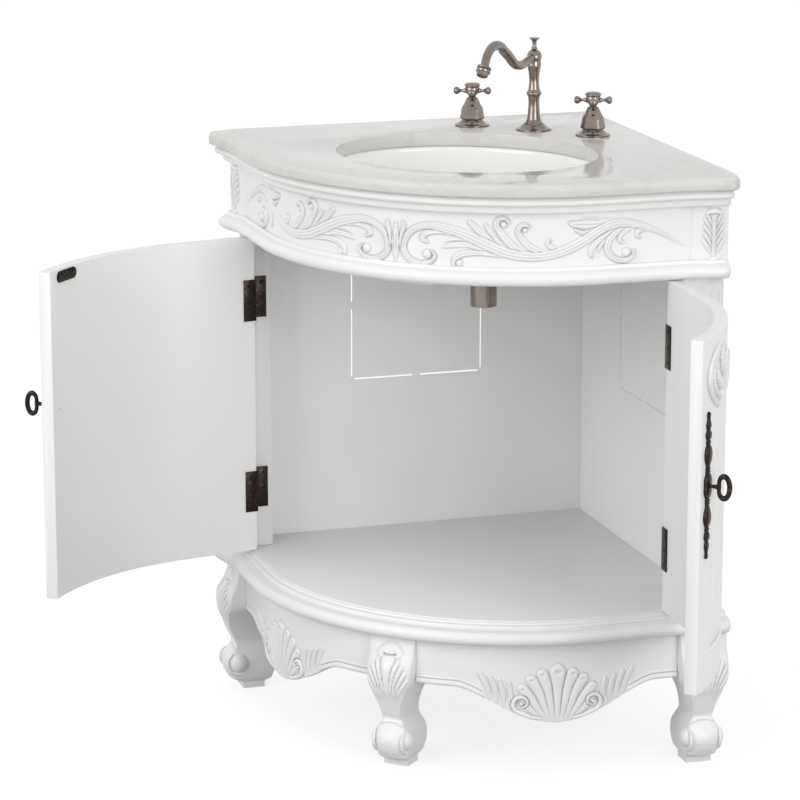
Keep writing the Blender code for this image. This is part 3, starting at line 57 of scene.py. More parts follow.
# Shader sums: a number that varies over a surface is written as a plain sum, and any other node comes
# from one call that takes its settings first and then what its sockets hold.
class Value:
    """The output of a shader node, on which +, - and * add Math nodes."""

    def __init__(self, graph, socket):
        self.graph = graph
        self.socket = socket

    def reckon(self, operation, first, second=0.0):
        return self.graph.node("ShaderNodeMath", {"operation": operation}, {0: first, 1: second})

    def __add__(self, other):
        return self.reckon("ADD", self, other)

    def __radd__(self, other):
        return self.reckon("ADD", other, self)

    def __sub__(self, other):
        return self.reckon("SUBTRACT", self, other)

    def __rsub__(self, other):
        return self.reckon("SUBTRACT", other, self)

    def __mul__(self, other):
        return self.reckon("MULTIPLY", self, other)

    def __rmul__(self, other):
        return self.reckon("MULTIPLY", other, self)

    def __abs__(self):
        return self.reckon("ABSOLUTE", self)

    def held(self):
        """The same number, kept between nought and one."""
        return self.graph.node("ShaderNodeClamp", {}, {0: self})


class Graph:
    """A node tree, to which nodes are added a line at a time."""

    def __init__(self, tree):
        self.tree = tree

    def node(self, kind, settings, sockets, output=0):
        made = self.tree.nodes.new(kind)
        for name, setting in settings.items():
            setattr(made, name, setting)
        for name, value in sockets.items():
            self.join(made.inputs[name], value)
        return Value(self, made.outputs[output])

    def join(self, socket, value):
        if isinstance(value, Value):
            self.tree.links.new(value.socket, socket)
        else:
            socket.default_value = value

    def reflecting(self):
        """One for rays that see a surface straight or through a mirror or glass, nought for the rest."""
        rays = ("Is Camera Ray", "Is Glossy Ray", "Is Transmission Ray")
        straight, mirrored, through = [self.node("ShaderNodeLightPath", {}, {}, ray) for ray in rays]
        return (straight + mirrored + through).held()


class Finish(Graph):
    """One finish of the vanity, as a material on which every other node is added."""

    def __init__(self, name, metallic=0.0):
        self.name = name
        self.material = bpy.data.materials.new(name)
        self.material.use_nodes = True
        super().__init__(self.material.node_tree)
        self.shader = self.tree.nodes["Principled BSDF"]
        self.set("Metallic", metallic)

    def set(self, name, value):
        self.join(self.shader.inputs[name], value)

    def place(self):
        return self.node("ShaderNodeTexCoord", {}, {}, "Object")

    def noise(self, scale, detail=2.0, where=None, twist=0.0):
        sockets = {"Vector": where or self.place(), "Scale": scale, "Detail": detail, "Distortion": twist}
        return self.node("ShaderNodeTexNoise", {}, sockets)

    def stretched(self, scale, turn=0.0):
        """Object coordinates drawn out along an axis, for grain, brush lines and veins."""
        sockets = {"Vector": self.place(), "Rotation": (0, 0, turn), "Scale": scale}
        return self.node("ShaderNodeMapping", {}, sockets)

    def window(self, value, low, high):
        """Nought below low and one above high, with an even slope between."""
        return ((value - low) * (1 / (high - low))).held()

    def blend(self, share, first, second):
        """A mix of two colours, of which each is three numbers or another mix."""
        first, second = [(*mix, 1) if isinstance(mix, tuple) else mix for mix in (first, second)]
        return self.node("ShaderNodeMix", {"data_type": "RGBA"}, {0: share, 6: first, 7: second}, 2)

    def relief(self, height, depth, strength):
        bump = self.node("ShaderNodeBump", {}, {"Height": height, "Distance": depth, "Strength": strength})
        self.set("Normal", bump)


# Floor and light: a plain pale floor running out to a white surround, with one large soft lamp from the
# front left, another from the right, and even light from all round.
FLOOR_SPAN = 60.0
FLOOR_GLOW = 0.745
FLOOR_SEEN = (0.34, 0.34, 0.34, 1)
FLOOR_LIT = (0.31, 0.31, 0.31, 1)
WHITE = (1, 1, 1, 1)
AMBIENT = 0.79
LAMP_AIM = Vector((0, -0.3, 0.5))

bpy.ops.object.select_all(action="DESELECT")
bpy.ops.mesh.primitive_plane_add(size=FLOOR_SPAN)
floor = bpy.context.object
floor.name = "studio_floor"
ground = Finish("studio_floor")
glow = ground.node("ShaderNodeEmission", {}, {"Color": WHITE, "Strength": FLOOR_GLOW})
matt = ground.node("ShaderNodeBsdfDiffuse", {}, {"Color": FLOOR_SEEN})
both = ground.node("ShaderNodeAddShader", {}, {0: glow, 1: matt})
plain = ground.node("ShaderNodeBsdfDiffuse", {}, {"Color": FLOOR_LIT})
shown = ground.node("ShaderNodeMixShader", {}, {0: ground.reflecting(), 1: plain, 2: both})
ground.join(ground.tree.nodes["Material Output"].inputs["Surface"], shown)
floor.data.materials.append(ground.material)

world = bpy.data.worlds.new("studio")
bpy.context.scene.world = world
world.use_nodes = True
surround = Graph(world.node_tree)
sky = surround.tree.nodes["Background"]
surround.join(sky.inputs["Color"], WHITE)
surround.join(sky.inputs["Strength"], AMBIENT + (1 - AMBIENT) * surround.reflecting())


def soft_lamp(name, place, size, power):
    """A square lamp that is turned towards the vanity."""
    lamp = bpy.data.lights.new(name, "AREA")
    lamp.size = size
    lamp.energy = power
    made = bpy.data.objects.new(name, lamp)
    bpy.context.scene.collection.objects.link(made)
    made.location = place
    made.rotation_euler = (made.location - LAMP_AIM).to_track_quat("Z", "Y").to_euler()


soft_lamp("main_lamp", (-1.3, -3.4, 1.55), size=2.2, power=43)
soft_lamp("right_lamp", (3.2, -2.4, 1.25), size=2.0, power=46)

# Rear leg: a plain square post of painted wood in the hidden corner, screwed up into the cabinet floor. The
# enamel is defined here, with the first wooden piece, and every other painted piece shares it. It is a
# white satin spray finish, with painted shade that greys it where the carving is deep.
paint = Finish("white_paint")
drift = paint.noise(7.0, 3.0)
# Painted shade: the base colour turns grey where the carving lies deep, in place of the shade in its
# recesses.
painted_recess_shade = paint.node("ShaderNodeAttribute", {"attribute_name": "painted_shade"}, {}, "Fac")
body_tone = paint.blend(drift, (0.815, 0.815, 0.807), (0.845, 0.845, 0.840))
paint.set("Base Color", paint.blend((painted_recess_shade * 0.95).held(), body_tone, (0.46, 0.455, 0.44)))
strokes = paint.noise(1.0, 3.0, paint.stretched((900.0, 900.0, 160.0)))
orange_peel = paint.noise(520.0, 2.0)
paint.set("Roughness", 0.30 + 0.14 * paint.noise(26.0, 2.0))
paint.relief(strokes * 0.6 + orange_peel * 0.4, 0.00012, 0.35)
paint.set("Specular IOR Level", 0.36)


def take(piece):
    """Makes one piece the only one that is selected and worked on."""
    if bpy.context.object and bpy.context.object.mode != "OBJECT":
        bpy.ops.object.mode_set(mode="OBJECT")
    bpy.ops.object.select_all(action="DESELECT")
    piece.select_set(True)
    bpy.context.view_layer.objects.active = piece


def fix_place(piece):
    """Takes a piece's place, turn and size into its mesh, which leaves its object at the origin."""
    take(piece)
    bpy.ops.object.transform_apply(location=True, rotation=True, scale=True)


def fit(piece, finish, body, node, smooth_deg=38):
    """Smooths a piece, gives it its finish, and hands it to the frame in place of its solid."""
    fix_place(piece)
    bpy.ops.object.shade_smooth_by_angle(angle=math.radians(smooth_deg))
    piece.data.materials.clear()
    piece.data.materials.append(finish.material)
    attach(piece, body)
    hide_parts(node)


def apply_step(piece, kind, **settings):
    """Adds one modifier to the piece and applies it at once."""
    take(piece)
    step = piece.modifiers.new(kind.lower(), kind)
    for name, value in settings.items():
        setattr(step, name, value)
    bpy.ops.object.modifier_apply(modifier=step.name)


def round_edges(piece, width, segments, least_deg):
    """Rounds the edges that turn by more than an angle."""
    apply_step(piece, "BEVEL", width=width, segments=segments, limit_method="ANGLE",
               angle_limit=math.radians(least_deg))


def copied(original, name):
    """A copy of a piece, with its own mesh."""
    piece = bpy.data.objects.new(name, original.data.copy())
    bpy.context.scene.collection.objects.link(piece)
    return piece


def eased(node, name, width, segments=2):
    """A solid's own shape with its sharp edges eased, as sanding, paint or tumbling leaves them."""
    piece = copied(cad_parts[node], name)
    take(piece)
    bpy.ops.object.mode_set(mode="EDIT")
    bpy.ops.mesh.select_all(action="SELECT")
    bpy.ops.mesh.remove_doubles(threshold=0.00001)
    bpy.ops.mesh.dissolve_limited(angle_limit=math.radians(0.8))
    bpy.ops.object.mode_set(mode="OBJECT")
    round_edges(piece, width, segments, 35)
    return piece


fit(eased("rear_leg", "plain_rear_leg", width=0.002, segments=3), paint, "cabinet", "rear_leg")

# Front legs: three cabriole legs, each carved from one block. A fan of ribs under a pierced cap covers the
# knee, raised lines run down the ankle, and the foot is a cushion with a round eye scrolled on each side.
ROOT2 = math.sqrt(2)
WALL_CORNER_Y = 0.0431335
ARC_INSET = 0.188
ARC_CENTRE_Y = WALL_CORNER_Y - ROOT2 * ARC_INSET
LEG_HEIGHT = 0.2027
LEG_WIDTH = 0.072
LEG_DEPTH = 0.060
KNEE_BULGE = 0.028
LEG_REACH = 0.581
SIDE_LEG_REACH = 0.590
SIDE_LEG_OFF = 0.029
# Height, then shares of the bulge for the face and its crown, of the depth and of the width
LEG_ROWS = [
    (1.000, 0.00, 0.00, 0.95, 1.000),
    (0.930, 0.00, 0.08, 0.95, 1.000),
    (0.860, 0.05, 0.32, 0.95, 1.000),
    (0.790, 0.22, 0.50, 0.95, 1.000),
    (0.720, 0.38, 0.42, 0.95, 0.980),
    (0.650, 0.48, 0.30, 0.95, 0.920),
    (0.590, 0.50, 0.22, 0.93, 0.740),
    (0.535, 0.44, 0.12, 0.87, 0.620),
    (0.475, 0.32, 0.06, 0.85, 0.520),
    (0.415, 0.16, 0.04, 0.86, 0.460),
    (0.360, 0.00, 0.04, 0.90, 0.440),
    (0.325, 0.02, 0.22, 0.93, 0.540),
    (0.280, 0.06, 0.44, 0.97, 0.670),
    (0.225, 0.08, 0.58, 1.00, 0.710),
    (0.165, 0.06, 0.56, 0.99, 0.710),
    (0.110, -0.02, 0.46, 0.94, 0.670),
    (0.068, -0.14, 0.26, 0.86, 0.600),
    (0.050, -0.35, 0.00, 0.73, 0.536),
    (0.000, -0.35, 0.00, 0.73, 0.536),
]
# Each stroke of a carving runs through rows of its place across and up, its half width and its height
KNEE_FAN = [
    [(12.5, 106, 1.3, 0.6), (19, 120, 2.3, 1.9), (27, 133, 2.9, 2.4), (32, 141, 2.2, 2.2)],
    [(11, 110, 1.4, 0.6), (16.5, 127, 2.5, 2.1), (23.5, 142, 3.2, 2.6), (28.5, 151, 2.5, 2.4)],
    [(8.6, 114, 1.5, 0.7), (13, 134, 2.7, 2.3), (19, 150, 3.4, 2.8), (23, 159.5, 2.7, 2.6)],
    [(5.8, 116, 1.5, 0.7), (8.6, 139, 2.8, 2.4), (13, 157, 3.6, 2.9), (16, 167.5, 2.9, 2.6)],
]
KNEE_TONGUE = [(0, 108, 3.5, 0.4), (0, 132, 4.6, 2.2), (0, 152, 7.2, 2.8), (0, 167, 10.5, 2.8)]
KNEE_CAP = [(-14, 178.5, 6.5, 2.6), (0, 184, 8.5, 3.4), (14, 178.5, 6.5, 2.6)]
KNEE_SLIT = [(0, 174.6, 0.9, 2.6), (5, 174.9, 1.2, 3.2), (9.5, 176.2, 1.9, 3.4)]
ANKLE_LINE = [(33, 134, 1.3, 1.0), (27, 118, 1.5, 1.3), (19.5, 104, 1.6, 1.5), (15.6, 90, 1.5, 1.5),
              (13.6, 76, 1.4, 1.2), (13.6, 68, 1.2, 0.8)]
FOOT_CREASE = [(0, 68.5, 1.1, 1.3), (10, 68, 1.1, 1.2), (20, 64, 1.0, 1.0)]
EYE_MIDDLE = (0.002, 0.043)
# Radius and how far it stands out from the leg's middle
EYE_DOME = [(0.0, 0.0335), (0.0050, 0.0329), (0.0098, 0.0308), (0.0134, 0.0275), (0.0154, 0.0232),
            (0.0160, 0.0185), (0.0160, 0.0), (0.0, 0.0)]
RIM_RADIUS = 0.0183
RIM_OUT = 0.0232
RIM_STEPS = 30
RIM_START_DEG = -150
RIM_RUN_DEG = 265
RIM_TIP_START = 0.87
RIM_TIP_THICK = 0.0008
RIM_THIN = 0.0006
RIM_SWELL = 0.0022
LEG_STEPS = 168


def settle(places, rows):
    """Values drawn smoothly through a table's rows, at the places asked for; rows are (place, value...)."""
    table = np.array(sorted(rows))
    order = table[:, 0]
    slopes = np.gradient(table[:, 1:], order, axis=0)
    index = np.clip(np.searchsorted(order, places, side="right") - 1, 0, len(order) - 2)
    wide = (order[index + 1] - order[index])[:, None]
    t = ((np.asarray(places) - order[index]) / wide[:, 0])[:, None]
    low, high = table[index, 1:], table[index + 1, 1:]
    return (
        low * (2 * t**3 - 3 * t**2 + 1) + high * (3 * t**2 - 2 * t**3)
        + slopes[index] * wide * (t**3 - 2 * t**2 + t) + slopes[index + 1] * wide * (t**3 - t**2)
    )


def grid_sheet(name, places, painted_shade=None):
    """A grid primitive whose points are moved to an array of places, with its rows and columns."""
    rows, columns = places.shape[:2]
    bpy.ops.object.select_all(action="DESELECT")
    bpy.ops.mesh.primitive_grid_add(x_subdivisions=columns - 1, y_subdivisions=rows - 1, size=2)
    piece = bpy.context.object
    piece.name = name
    flat = points_of(piece)
    column = np.rint((flat[:, 0] + 1) / 2 * (columns - 1)).astype(int)
    row = np.rint((flat[:, 1] + 1) / 2 * (rows - 1)).astype(int)
    move_points(piece, places[row, column])
    if painted_shade is not None:
        # Painted shade: the carving's depth at each point is kept so that the paint greys its recesses.
        layer = piece.data.attributes.new("painted_shade", "FLOAT", "POINT")
        layer.data.foreach_set("value", painted_shade[row, column].astype(np.float32))
    return piece, row, column


def points_of(piece):
    """A piece's points as an array, with a row for each."""
    flat = np.empty(len(piece.data.vertices) * 3, np.float32)
    piece.data.vertices.foreach_get("co", flat)
    return flat.reshape(-1, 3)


def move_points(piece, places):
    """Puts a piece's points at an array of places."""
    piece.data.vertices.foreach_set("co", np.ascontiguousarray(places, dtype=np.float32).ravel())
    piece.data.update()


def ringed(name, rings, capped=True, painted_shade=None):
    """A closed skin through a stack of rings, each a line of points that comes back to its start."""
    rings = np.asarray(rings, float)
    rings = np.concatenate([rings, rings[:, :1]], axis=1)
    if painted_shade is not None:
        painted_shade = np.concatenate([painted_shade, painted_shade[:, :1]], axis=1)
    piece, row, column = grid_sheet(name, rings, painted_shade)
    bpy.ops.object.mode_set(mode="EDIT")
    bpy.ops.mesh.select_all(action="SELECT")
    bpy.ops.mesh.remove_doubles(threshold=0.000001)
    if capped:
        bpy.ops.mesh.select_all(action="DESELECT")
        bpy.ops.mesh.select_non_manifold()
        bpy.ops.mesh.edge_face_add()
    bpy.ops.mesh.select_all(action="SELECT")
    bpy.ops.mesh.normals_make_consistent(inside=False)
    bpy.ops.object.mode_set(mode="OBJECT")
    return piece


def turned(name, profile, place=(0, 0, 0), steps=64, bored=False):
    """A turned piece: its outline, (radius, height) down its outer side, spun about an upright axis."""
    bpy.ops.object.select_all(action="DESELECT")
    bpy.ops.mesh.primitive_circle_add(vertices=len(profile), radius=1, fill_type="NOTHING")
    piece = bpy.context.object
    piece.name = name
    move_points(piece, [(place[0] + radius, place[1], place[2] + height) for radius, height in profile])
    if not bored:
        for part in (*piece.data.vertices, *piece.data.edges):
            part.select = False
        for edge in piece.data.edges:
            edge.select = set(edge.vertices) == {0, len(profile) - 1}
    bpy.ops.object.mode_set(mode="EDIT")
    if not bored:
        bpy.ops.mesh.select_mode(type="EDGE")
        bpy.ops.mesh.delete(type="EDGE")
    bpy.ops.mesh.select_mode(type="VERT")
    bpy.ops.mesh.select_all(action="SELECT")
    bpy.ops.mesh.spin(steps=steps, angle=2 * math.pi, center=place, axis=(0, 0, 1))
    bpy.ops.mesh.select_all(action="SELECT")
    bpy.ops.mesh.remove_doubles(threshold=0.000002)
    bpy.ops.mesh.normals_make_consistent(inside=False)
    bpy.ops.object.mode_set(mode="OBJECT")
    return piece


def smooth_profile(rows, count):
    """More points along a profile of (height, radius) rows, for a turned piece without flats."""
    rows = sorted(rows)
    heights = [row[0] for row in rows]
    places = np.unique(np.concatenate([np.linspace(heights[0], heights[-1], count), heights]))
    radii = np.maximum(settle(places, rows)[:, 0], 0)
    return [(radius, height) for height, radius in zip(places, radii)][::-1]


def joined(name, *pieces):
    """Several skins made into one piece."""
    take(pieces[0])
    for piece in pieces[1:]:
        piece.select_set(True)
    bpy.ops.object.join()
    pieces[0].name = name
    return pieces[0]


class Carving:
    """A carver's pattern on a sheet of points: across, up and how far it is raised, in millimetres."""

    LEAST_HALF = 0.15
    GOUGE_DEPTH = 0.42
    UNDER_STROKE = 0.55
    UNDER_KNOB = 0.5
    KNOB_RING = 0.62

    def __init__(self, across, up):
        self.across = across
        self.up = up
        self.rise = np.zeros_like(across)

    def line(self, way):
        """A smooth line through a stroke's points, each (across, up, half width, height)."""
        points = np.array(way, float)
        padded = np.vstack([2 * points[0] - points[1], points, 2 * points[-1] - points[-2]])
        t = np.linspace(0, 1, 7, endpoint=False)[:, None]
        drawn = []
        for a, b, c, d in zip(padded, padded[1:], padded[2:], padded[3:]):
            square = (2 * a - 5 * b + 4 * c - d) * t**2
            cube = (3 * b - a - 3 * c + d) * t**3
            drawn.append(0.5 * (2 * b + (c - a) * t + square + cube))
        return np.vstack([*drawn, points[-1:]])

    def near(self, way, margin):
        """The points near a stroke: which, how far out and on which side, with its height and width."""
        line = self.line(way)
        reach = line[:, 2].max() + margin
        low = line[:, :2].min(0) - reach
        high = line[:, :2].max(0) + reach
        chosen = (
            (self.across > low[0]) & (self.across < high[0]) & (self.up > low[1]) & (self.up < high[1])
        )
        x, y = self.across[chosen], self.up[chosen]
        out = np.full(x.shape, 1e9)
        side = np.zeros(x.shape)
        height = np.zeros(x.shape)
        width = np.ones(x.shape)
        for a, b in zip(line, line[1:]):
            run = b[:2] - a[:2]
            t = np.clip(((x - a[0]) * run[0] + (y - a[1]) * run[1]) / max(run @ run, 1e-9), 0, 1)
            half = np.maximum(a[2] + (b[2] - a[2]) * t, self.LEAST_HALF)
            dx, dy = x - (a[0] + run[0] * t), y - (a[1] + run[1] * t)
            share = np.hypot(dx, dy) / half
            closer = share < out
            out = np.where(closer, share, out)
            side = np.where(closer, np.sign(run[0] * dy - run[1] * dx) * share, side)
            height = np.where(closer, a[3] + (b[3] - a[3]) * t, height)
            width = np.where(closer, half, width)
        return chosen, out, side, height, width

    def stroke(self, way, strands=1, moat=0.7, keep=0.35):
        """A raised stroke with rounded sides; strands gives it lengthways gouges, and moat a cut edge."""
        chosen, out, side, height, width = self.near(way, moat + 0.5)
        shape = np.sqrt(np.clip(1 - out**2.6, 0, 1))
        if strands > 1:
            gouge = 0.5 + 0.5 * np.cos(math.pi * strands * (side + 1))
            shape = shape * (1 - self.GOUGE_DEPTH * gouge**2)
        rise = self.rise[chosen]
        edge = (out >= 1) & (out < 1 + moat / width)
        rise = np.where(edge, rise * keep, rise)
        raised = np.maximum(rise * self.UNDER_STROKE, height * shape)
        self.rise[chosen] = np.where(out < 1, raised, rise)

    def groove(self, way):
        """A cut line, with its depth given as the stroke's height."""
        chosen, out, side, height, width = self.near(way, 0.5)
        self.rise[chosen] -= height * np.clip(1 - out**2, 0, 1)

    def knob(self, across, up, radius, height, ring=0.0):
        """A round boss, with a cut ring near its edge where it is the eye of a scroll."""
        away = np.hypot(self.across - across, self.up - up) / radius
        shape = np.sqrt(np.clip(1 - away**2, 0, 1))
        edge = (away >= 1) & (away < 1 + 0.7 / radius)
        self.rise = np.where(edge, self.rise * 0.3, self.rise)
        raised = np.maximum(self.rise * self.UNDER_KNOB, height * shape)
        self.rise = np.where(away < 1, raised, self.rise)
        cut = np.exp(-(((away - self.KNOB_RING) * radius / 0.6) ** 2))
        self.rise -= ring * cut * (away < 1)

    def painted_shade_depths(self):
        """How deep each point lies below its surroundings, for the painted shade in the carving's recesses.
        """
        around = self.rise.copy()
        for axis in (0, 1):
            blurred = around.copy()
            for step in (1, 2, 3):
                blurred += np.roll(around, step, axis) + np.roll(around, -step, axis)
            around = blurred / 7
        depth = np.clip((around - self.rise - 0.12) / 1.5, 0, 1)
        depth[:4] = depth[-4:] = 0
        depth[:, :4] = depth[:, -4:] = 0
        return depth


def eye_rim(name, side):
    """The rolled rim round a foot's eye: a thin tapered roll along most of a circle."""
    around = 2 * math.pi * np.arange(12) / 12
    rings = []
    for step in range(RIM_STEPS + 1):
        share = step / RIM_STEPS
        angle = math.radians(RIM_START_DEG + RIM_RUN_DEG * share)
        thick = RIM_TIP_THICK
        if share < RIM_TIP_START:
            thick = RIM_THIN + RIM_SWELL * math.sin(math.pi * min(1, share * 1.15)) ** 0.7
        radius = RIM_RADIUS + thick * np.cos(around)
        rings.append(np.stack([
            side * (RIM_OUT + thick * np.sin(around)),
            EYE_MIDDLE[0] + radius * math.sin(angle),
            EYE_MIDDLE[1] - radius * math.cos(angle),
        ], axis=-1))
    return ringed(name, rings)


def carve_leg(name, place, facing):
    """One leg: rings of points up its height, carved on the front, with the eyes joined on at the foot."""
    heights = np.linspace(0, 1, LEG_STEPS + 1)
    face, crown, deep, wide = settle(heights, LEG_ROWS).T
    pad_height, *pad_shares = LEG_ROWS[-2]
    for values, level in zip((face, crown, deep, wide), pad_shares):
        values[heights < pad_height] = level
    turn = np.linspace(-math.pi / 2, math.pi / 2, 73)
    half = (LEG_WIDTH / 2 * wide)[:, None]
    front_x = half * np.sin(turn)
    front_y = KNEE_BULGE * (face[:, None] + crown[:, None].clip(0) * np.cos(turn).clip(0) ** 0.8)
    up = np.repeat(heights[:, None] * LEG_HEIGHT, len(turn), axis=1)
    fan = Carving(np.abs(front_x) * 1000, up * 1000)
    signed = Carving(front_x * 1000, up * 1000)
    for rib in KNEE_FAN:
        fan.stroke(rib, moat=0.6, keep=0.2)
    fan.stroke(KNEE_TONGUE, moat=0.8, keep=0.1)
    signed.stroke(KNEE_CAP)
    fan.rise = np.maximum(fan.rise, signed.rise)
    fan.groove(KNEE_SLIT)
    fan.stroke(ANKLE_LINE, moat=0.9, keep=0.1)
    fan.groove(FOOT_CREASE)
    rise = (fan.rise - 0.6) / 1000 * (fan.rise != 0)
    lean = front_x / np.maximum(half, 1e-6) * 0.35
    front = np.stack([front_x + rise * lean, -(front_y + rise), up], axis=-1)
    back = (LEG_DEPTH * deep)[:, None]
    edge = -front_y[:, -1:]
    share = np.linspace(0, 1, 9)[1:]
    right = np.stack([half + 0 * share, edge + (back - edge) * share, up[:, :1] + 0 * share], axis=-1)
    across_back = np.linspace(1, -1, 9)[1:-1]
    rear = np.stack([half * across_back, back + 0 * across_back, up[:, :1] + 0 * across_back], axis=-1)
    left = right[:, ::-1] * np.array([-1, 1, 1])
    plain = np.concatenate([right, rear, left], axis=1)
    # Painted shade for the carved front only; the plain sides and back get none.
    leg_painted_shade = np.hstack([fan.painted_shade_depths(), np.zeros(plain.shape[:2])])
    skins = [ringed(name, np.concatenate([front, plain], axis=1), painted_shade=leg_painted_shade)]
    for side in (-1, 1):
        eye = turned(name + "_eye", EYE_DOME, steps=40)
        eye.rotation_euler = (0, side * math.pi / 2, 0)
        eye.location = (0, *EYE_MIDDLE)
        fix_place(eye)
        skins += [eye, eye_rim(name + "_rim", side)]
    leg = joined(name, *skins)
    leg.location = place
    leg.rotation_euler = (0, 0, facing)
    return leg


def off_wall(side, along, off, up=0):
    """A place measured along a back plane and off it; side is 1 for right, -1 for left."""
    return side * (along - off) / ROOT2, WALL_CORNER_Y - (along + off) / ROOT2, up


leg_places = {
    "centre_leg": ((0, ARC_CENTRE_Y - (LEG_REACH - ARC_INSET), 0), 0),
    "left_leg": (off_wall(-1, SIDE_LEG_REACH, SIDE_LEG_OFF), -math.pi / 4),
    "right_leg": (off_wall(1, SIDE_LEG_REACH, SIDE_LEG_OFF), math.pi / 4),
}
for node, (place, facing) in leg_places.items():
    fit(carve_leg("carved_" + node, place, facing), paint, "cabinet", node, smooth_deg=45)

# Aprons: two bowed boards between the legs, sawn to one broad lobe each. A scallop shell with two scrolls
# and a spray of feathers either side is carved on the lobe, and a bead runs along the rest of the edge.
APRON_REACH = 0.578
APRON_THICKNESS = 0.020
APRON_START = 0.03637
APRON_END = 0.42901
APRON_EDGE = 0.134
LOBE_DROP = 0.0525
LOBE_HALF = 0.150
LOBE_MIDDLE = 0.245
LOBE_ROUNDNESS = 1.75
APRON_PINCH = 0.0019
# The bead along the sawn edge, with a cut line and a fine ridge above it, in millimetres
BEAD_HEIGHT = 2.4
BEAD_HALF = 4.0
CUT_ABOVE = 8.6
RIDGE_ABOVE = 10.8
SHELL_REACH = 104
SIDES = {"left": -1, "right": 1}
SHELL_RIBS = [
    [(22, 87, 2.6, 0.8), (34, 97, 4.2, 2.2), (45, 108, 5.4, 3.0), (54, 117, 5.6, 3.4)],
    [(17, 86, 2.8, 0.8), (27, 101, 4.6, 2.6), (38, 118, 6.2, 3.3), (48, 130, 7.4, 3.8),
     (52, 134, 6.8, 4.0)],
    [(11.5, 85, 2.8, 0.8), (18.5, 105, 4.8, 2.8), (26.5, 127, 6.6, 3.6), (35, 142, 8.2, 4.1),
     (38.5, 147, 7.6, 4.2)],
    [(6, 84, 2.8, 0.8), (10, 108, 4.8, 2.9), (15, 134, 6.8, 3.8), (20.5, 150, 8.6, 4.3),
     (22.5, 155.5, 8.0, 4.4)],
]
SHELL_MIDDLE = [(0, 83, 3.4, 0.8), (0, 108, 4.8, 3.0), (0, 136, 7.6, 4.0), (0, 153, 11.4, 4.6),
                (0, 158, 12.0, 4.8)]
SHELL_THUMBS = [(0, 158, 7.5, 2.2), (22.5, 155, 4.6, 1.7), (37.5, 146.5, 4.2, 1.5), (51, 133, 3.6, 1.3)]
SHELL_SCROLL = [
    (24, 88, 2.0, 1.0), (37, 90, 3.2, 3.0), (49, 94.5, 3.8, 3.8), (60, 100, 3.6, 4.2), (65, 109, 3.4, 4.4),
    (61.5, 118, 3.2, 4.4), (52, 121.5, 3.0, 4.4), (44.5, 116, 2.6, 4.2), (45.5, 108.5, 2.2, 4.0),
    (51, 105.5, 1.6, 3.8),
]
FEATHERS = [
    [(69, 102, 2.0, 1.0), (68, 122, 3.8, 2.8), (71, 143, 3.2, 3.0)],
    [(79, 107, 2.0, 1.0), (79.5, 127, 3.8, 2.8), (85, 147, 3.2, 3.0)],
    [(89, 113, 2.0, 1.0), (91, 132, 3.8, 2.8), (98.5, 151, 3.4, 3.0)],
    [(99, 119, 2.0, 1.0), (103, 137, 4.0, 2.8), (113, 156, 3.6, 3.0)],
]


def on_bow(side, reach, across, out, up):
    """Places on the bowed front: across from its middle, out from its face, and up, all in metres."""
    radius = reach - ARC_INSET
    bowed = radius * math.pi / 4
    turn = np.minimum(across, bowed) / radius
    past = np.maximum(across - bowed, 0)
    x = (radius + out) * np.sin(turn) + past / ROOT2
    y = ARC_CENTRE_Y - (radius + out) * np.cos(turn) + past / ROOT2
    return np.stack([side * x, y, up + 0 * x], axis=-1)


def select_points(piece, chosen):
    """Opens a piece for editing with only the points of a mask selected."""
    take(piece)
    mesh = piece.data
    mesh.polygons.foreach_set("select", np.zeros(len(mesh.polygons), bool))
    mesh.edges.foreach_set("select", np.zeros(len(mesh.edges), bool))
    mesh.vertices.foreach_set("select", np.asarray(chosen, bool))
    bpy.ops.object.mode_set(mode="EDIT")
    bpy.ops.mesh.select_mode(type="VERT")


def carved_board(name, front, back, painted_shade):
    """A board with a carved face: a fine sheet in front, its long edges drawn back and bridged behind."""
    piece, row, column = grid_sheet(name, front, painted_shade)
    for edge in (0, len(front) - 1):
        count = len(piece.data.vertices)
        chosen = np.zeros(count, bool)
        chosen[:len(row)] = row == edge
        select_points(piece, chosen)
        bpy.ops.mesh.extrude_edges_move()
        bpy.ops.object.mode_set(mode="OBJECT")
        flat = points_of(piece)
        nearest = np.argmin(((flat[count:, None, :] - front[edge][None]) ** 2).sum(-1), axis=1)
        flat[count:] = back[edge][nearest]
        move_points(piece, flat)
    chosen = np.ones(len(piece.data.vertices), bool)
    chosen[:len(row)] = False
    select_points(piece, chosen)
    bpy.ops.mesh.bridge_edge_loops()
    bpy.ops.mesh.select_all(action="DESELECT")
    bpy.ops.mesh.select_non_manifold()
    bpy.ops.mesh.edge_face_add()
    bpy.ops.mesh.select_all(action="SELECT")
    bpy.ops.mesh.normals_make_consistent(inside=False)
    bpy.ops.object.mode_set(mode="OBJECT")
    return piece


def lobe_edge(across):
    """The height of an apron's sawn lower edge."""
    away = np.minimum(np.abs(across - LOBE_MIDDLE) / LOBE_HALF, 1)
    return APRON_EDGE - LOBE_DROP * (1 - away**2) ** LOBE_ROUNDNESS


def ridge(distance, width):
    """A soft ridge of unit height, centred on nought."""
    return np.exp(-((distance / width) ** 2))


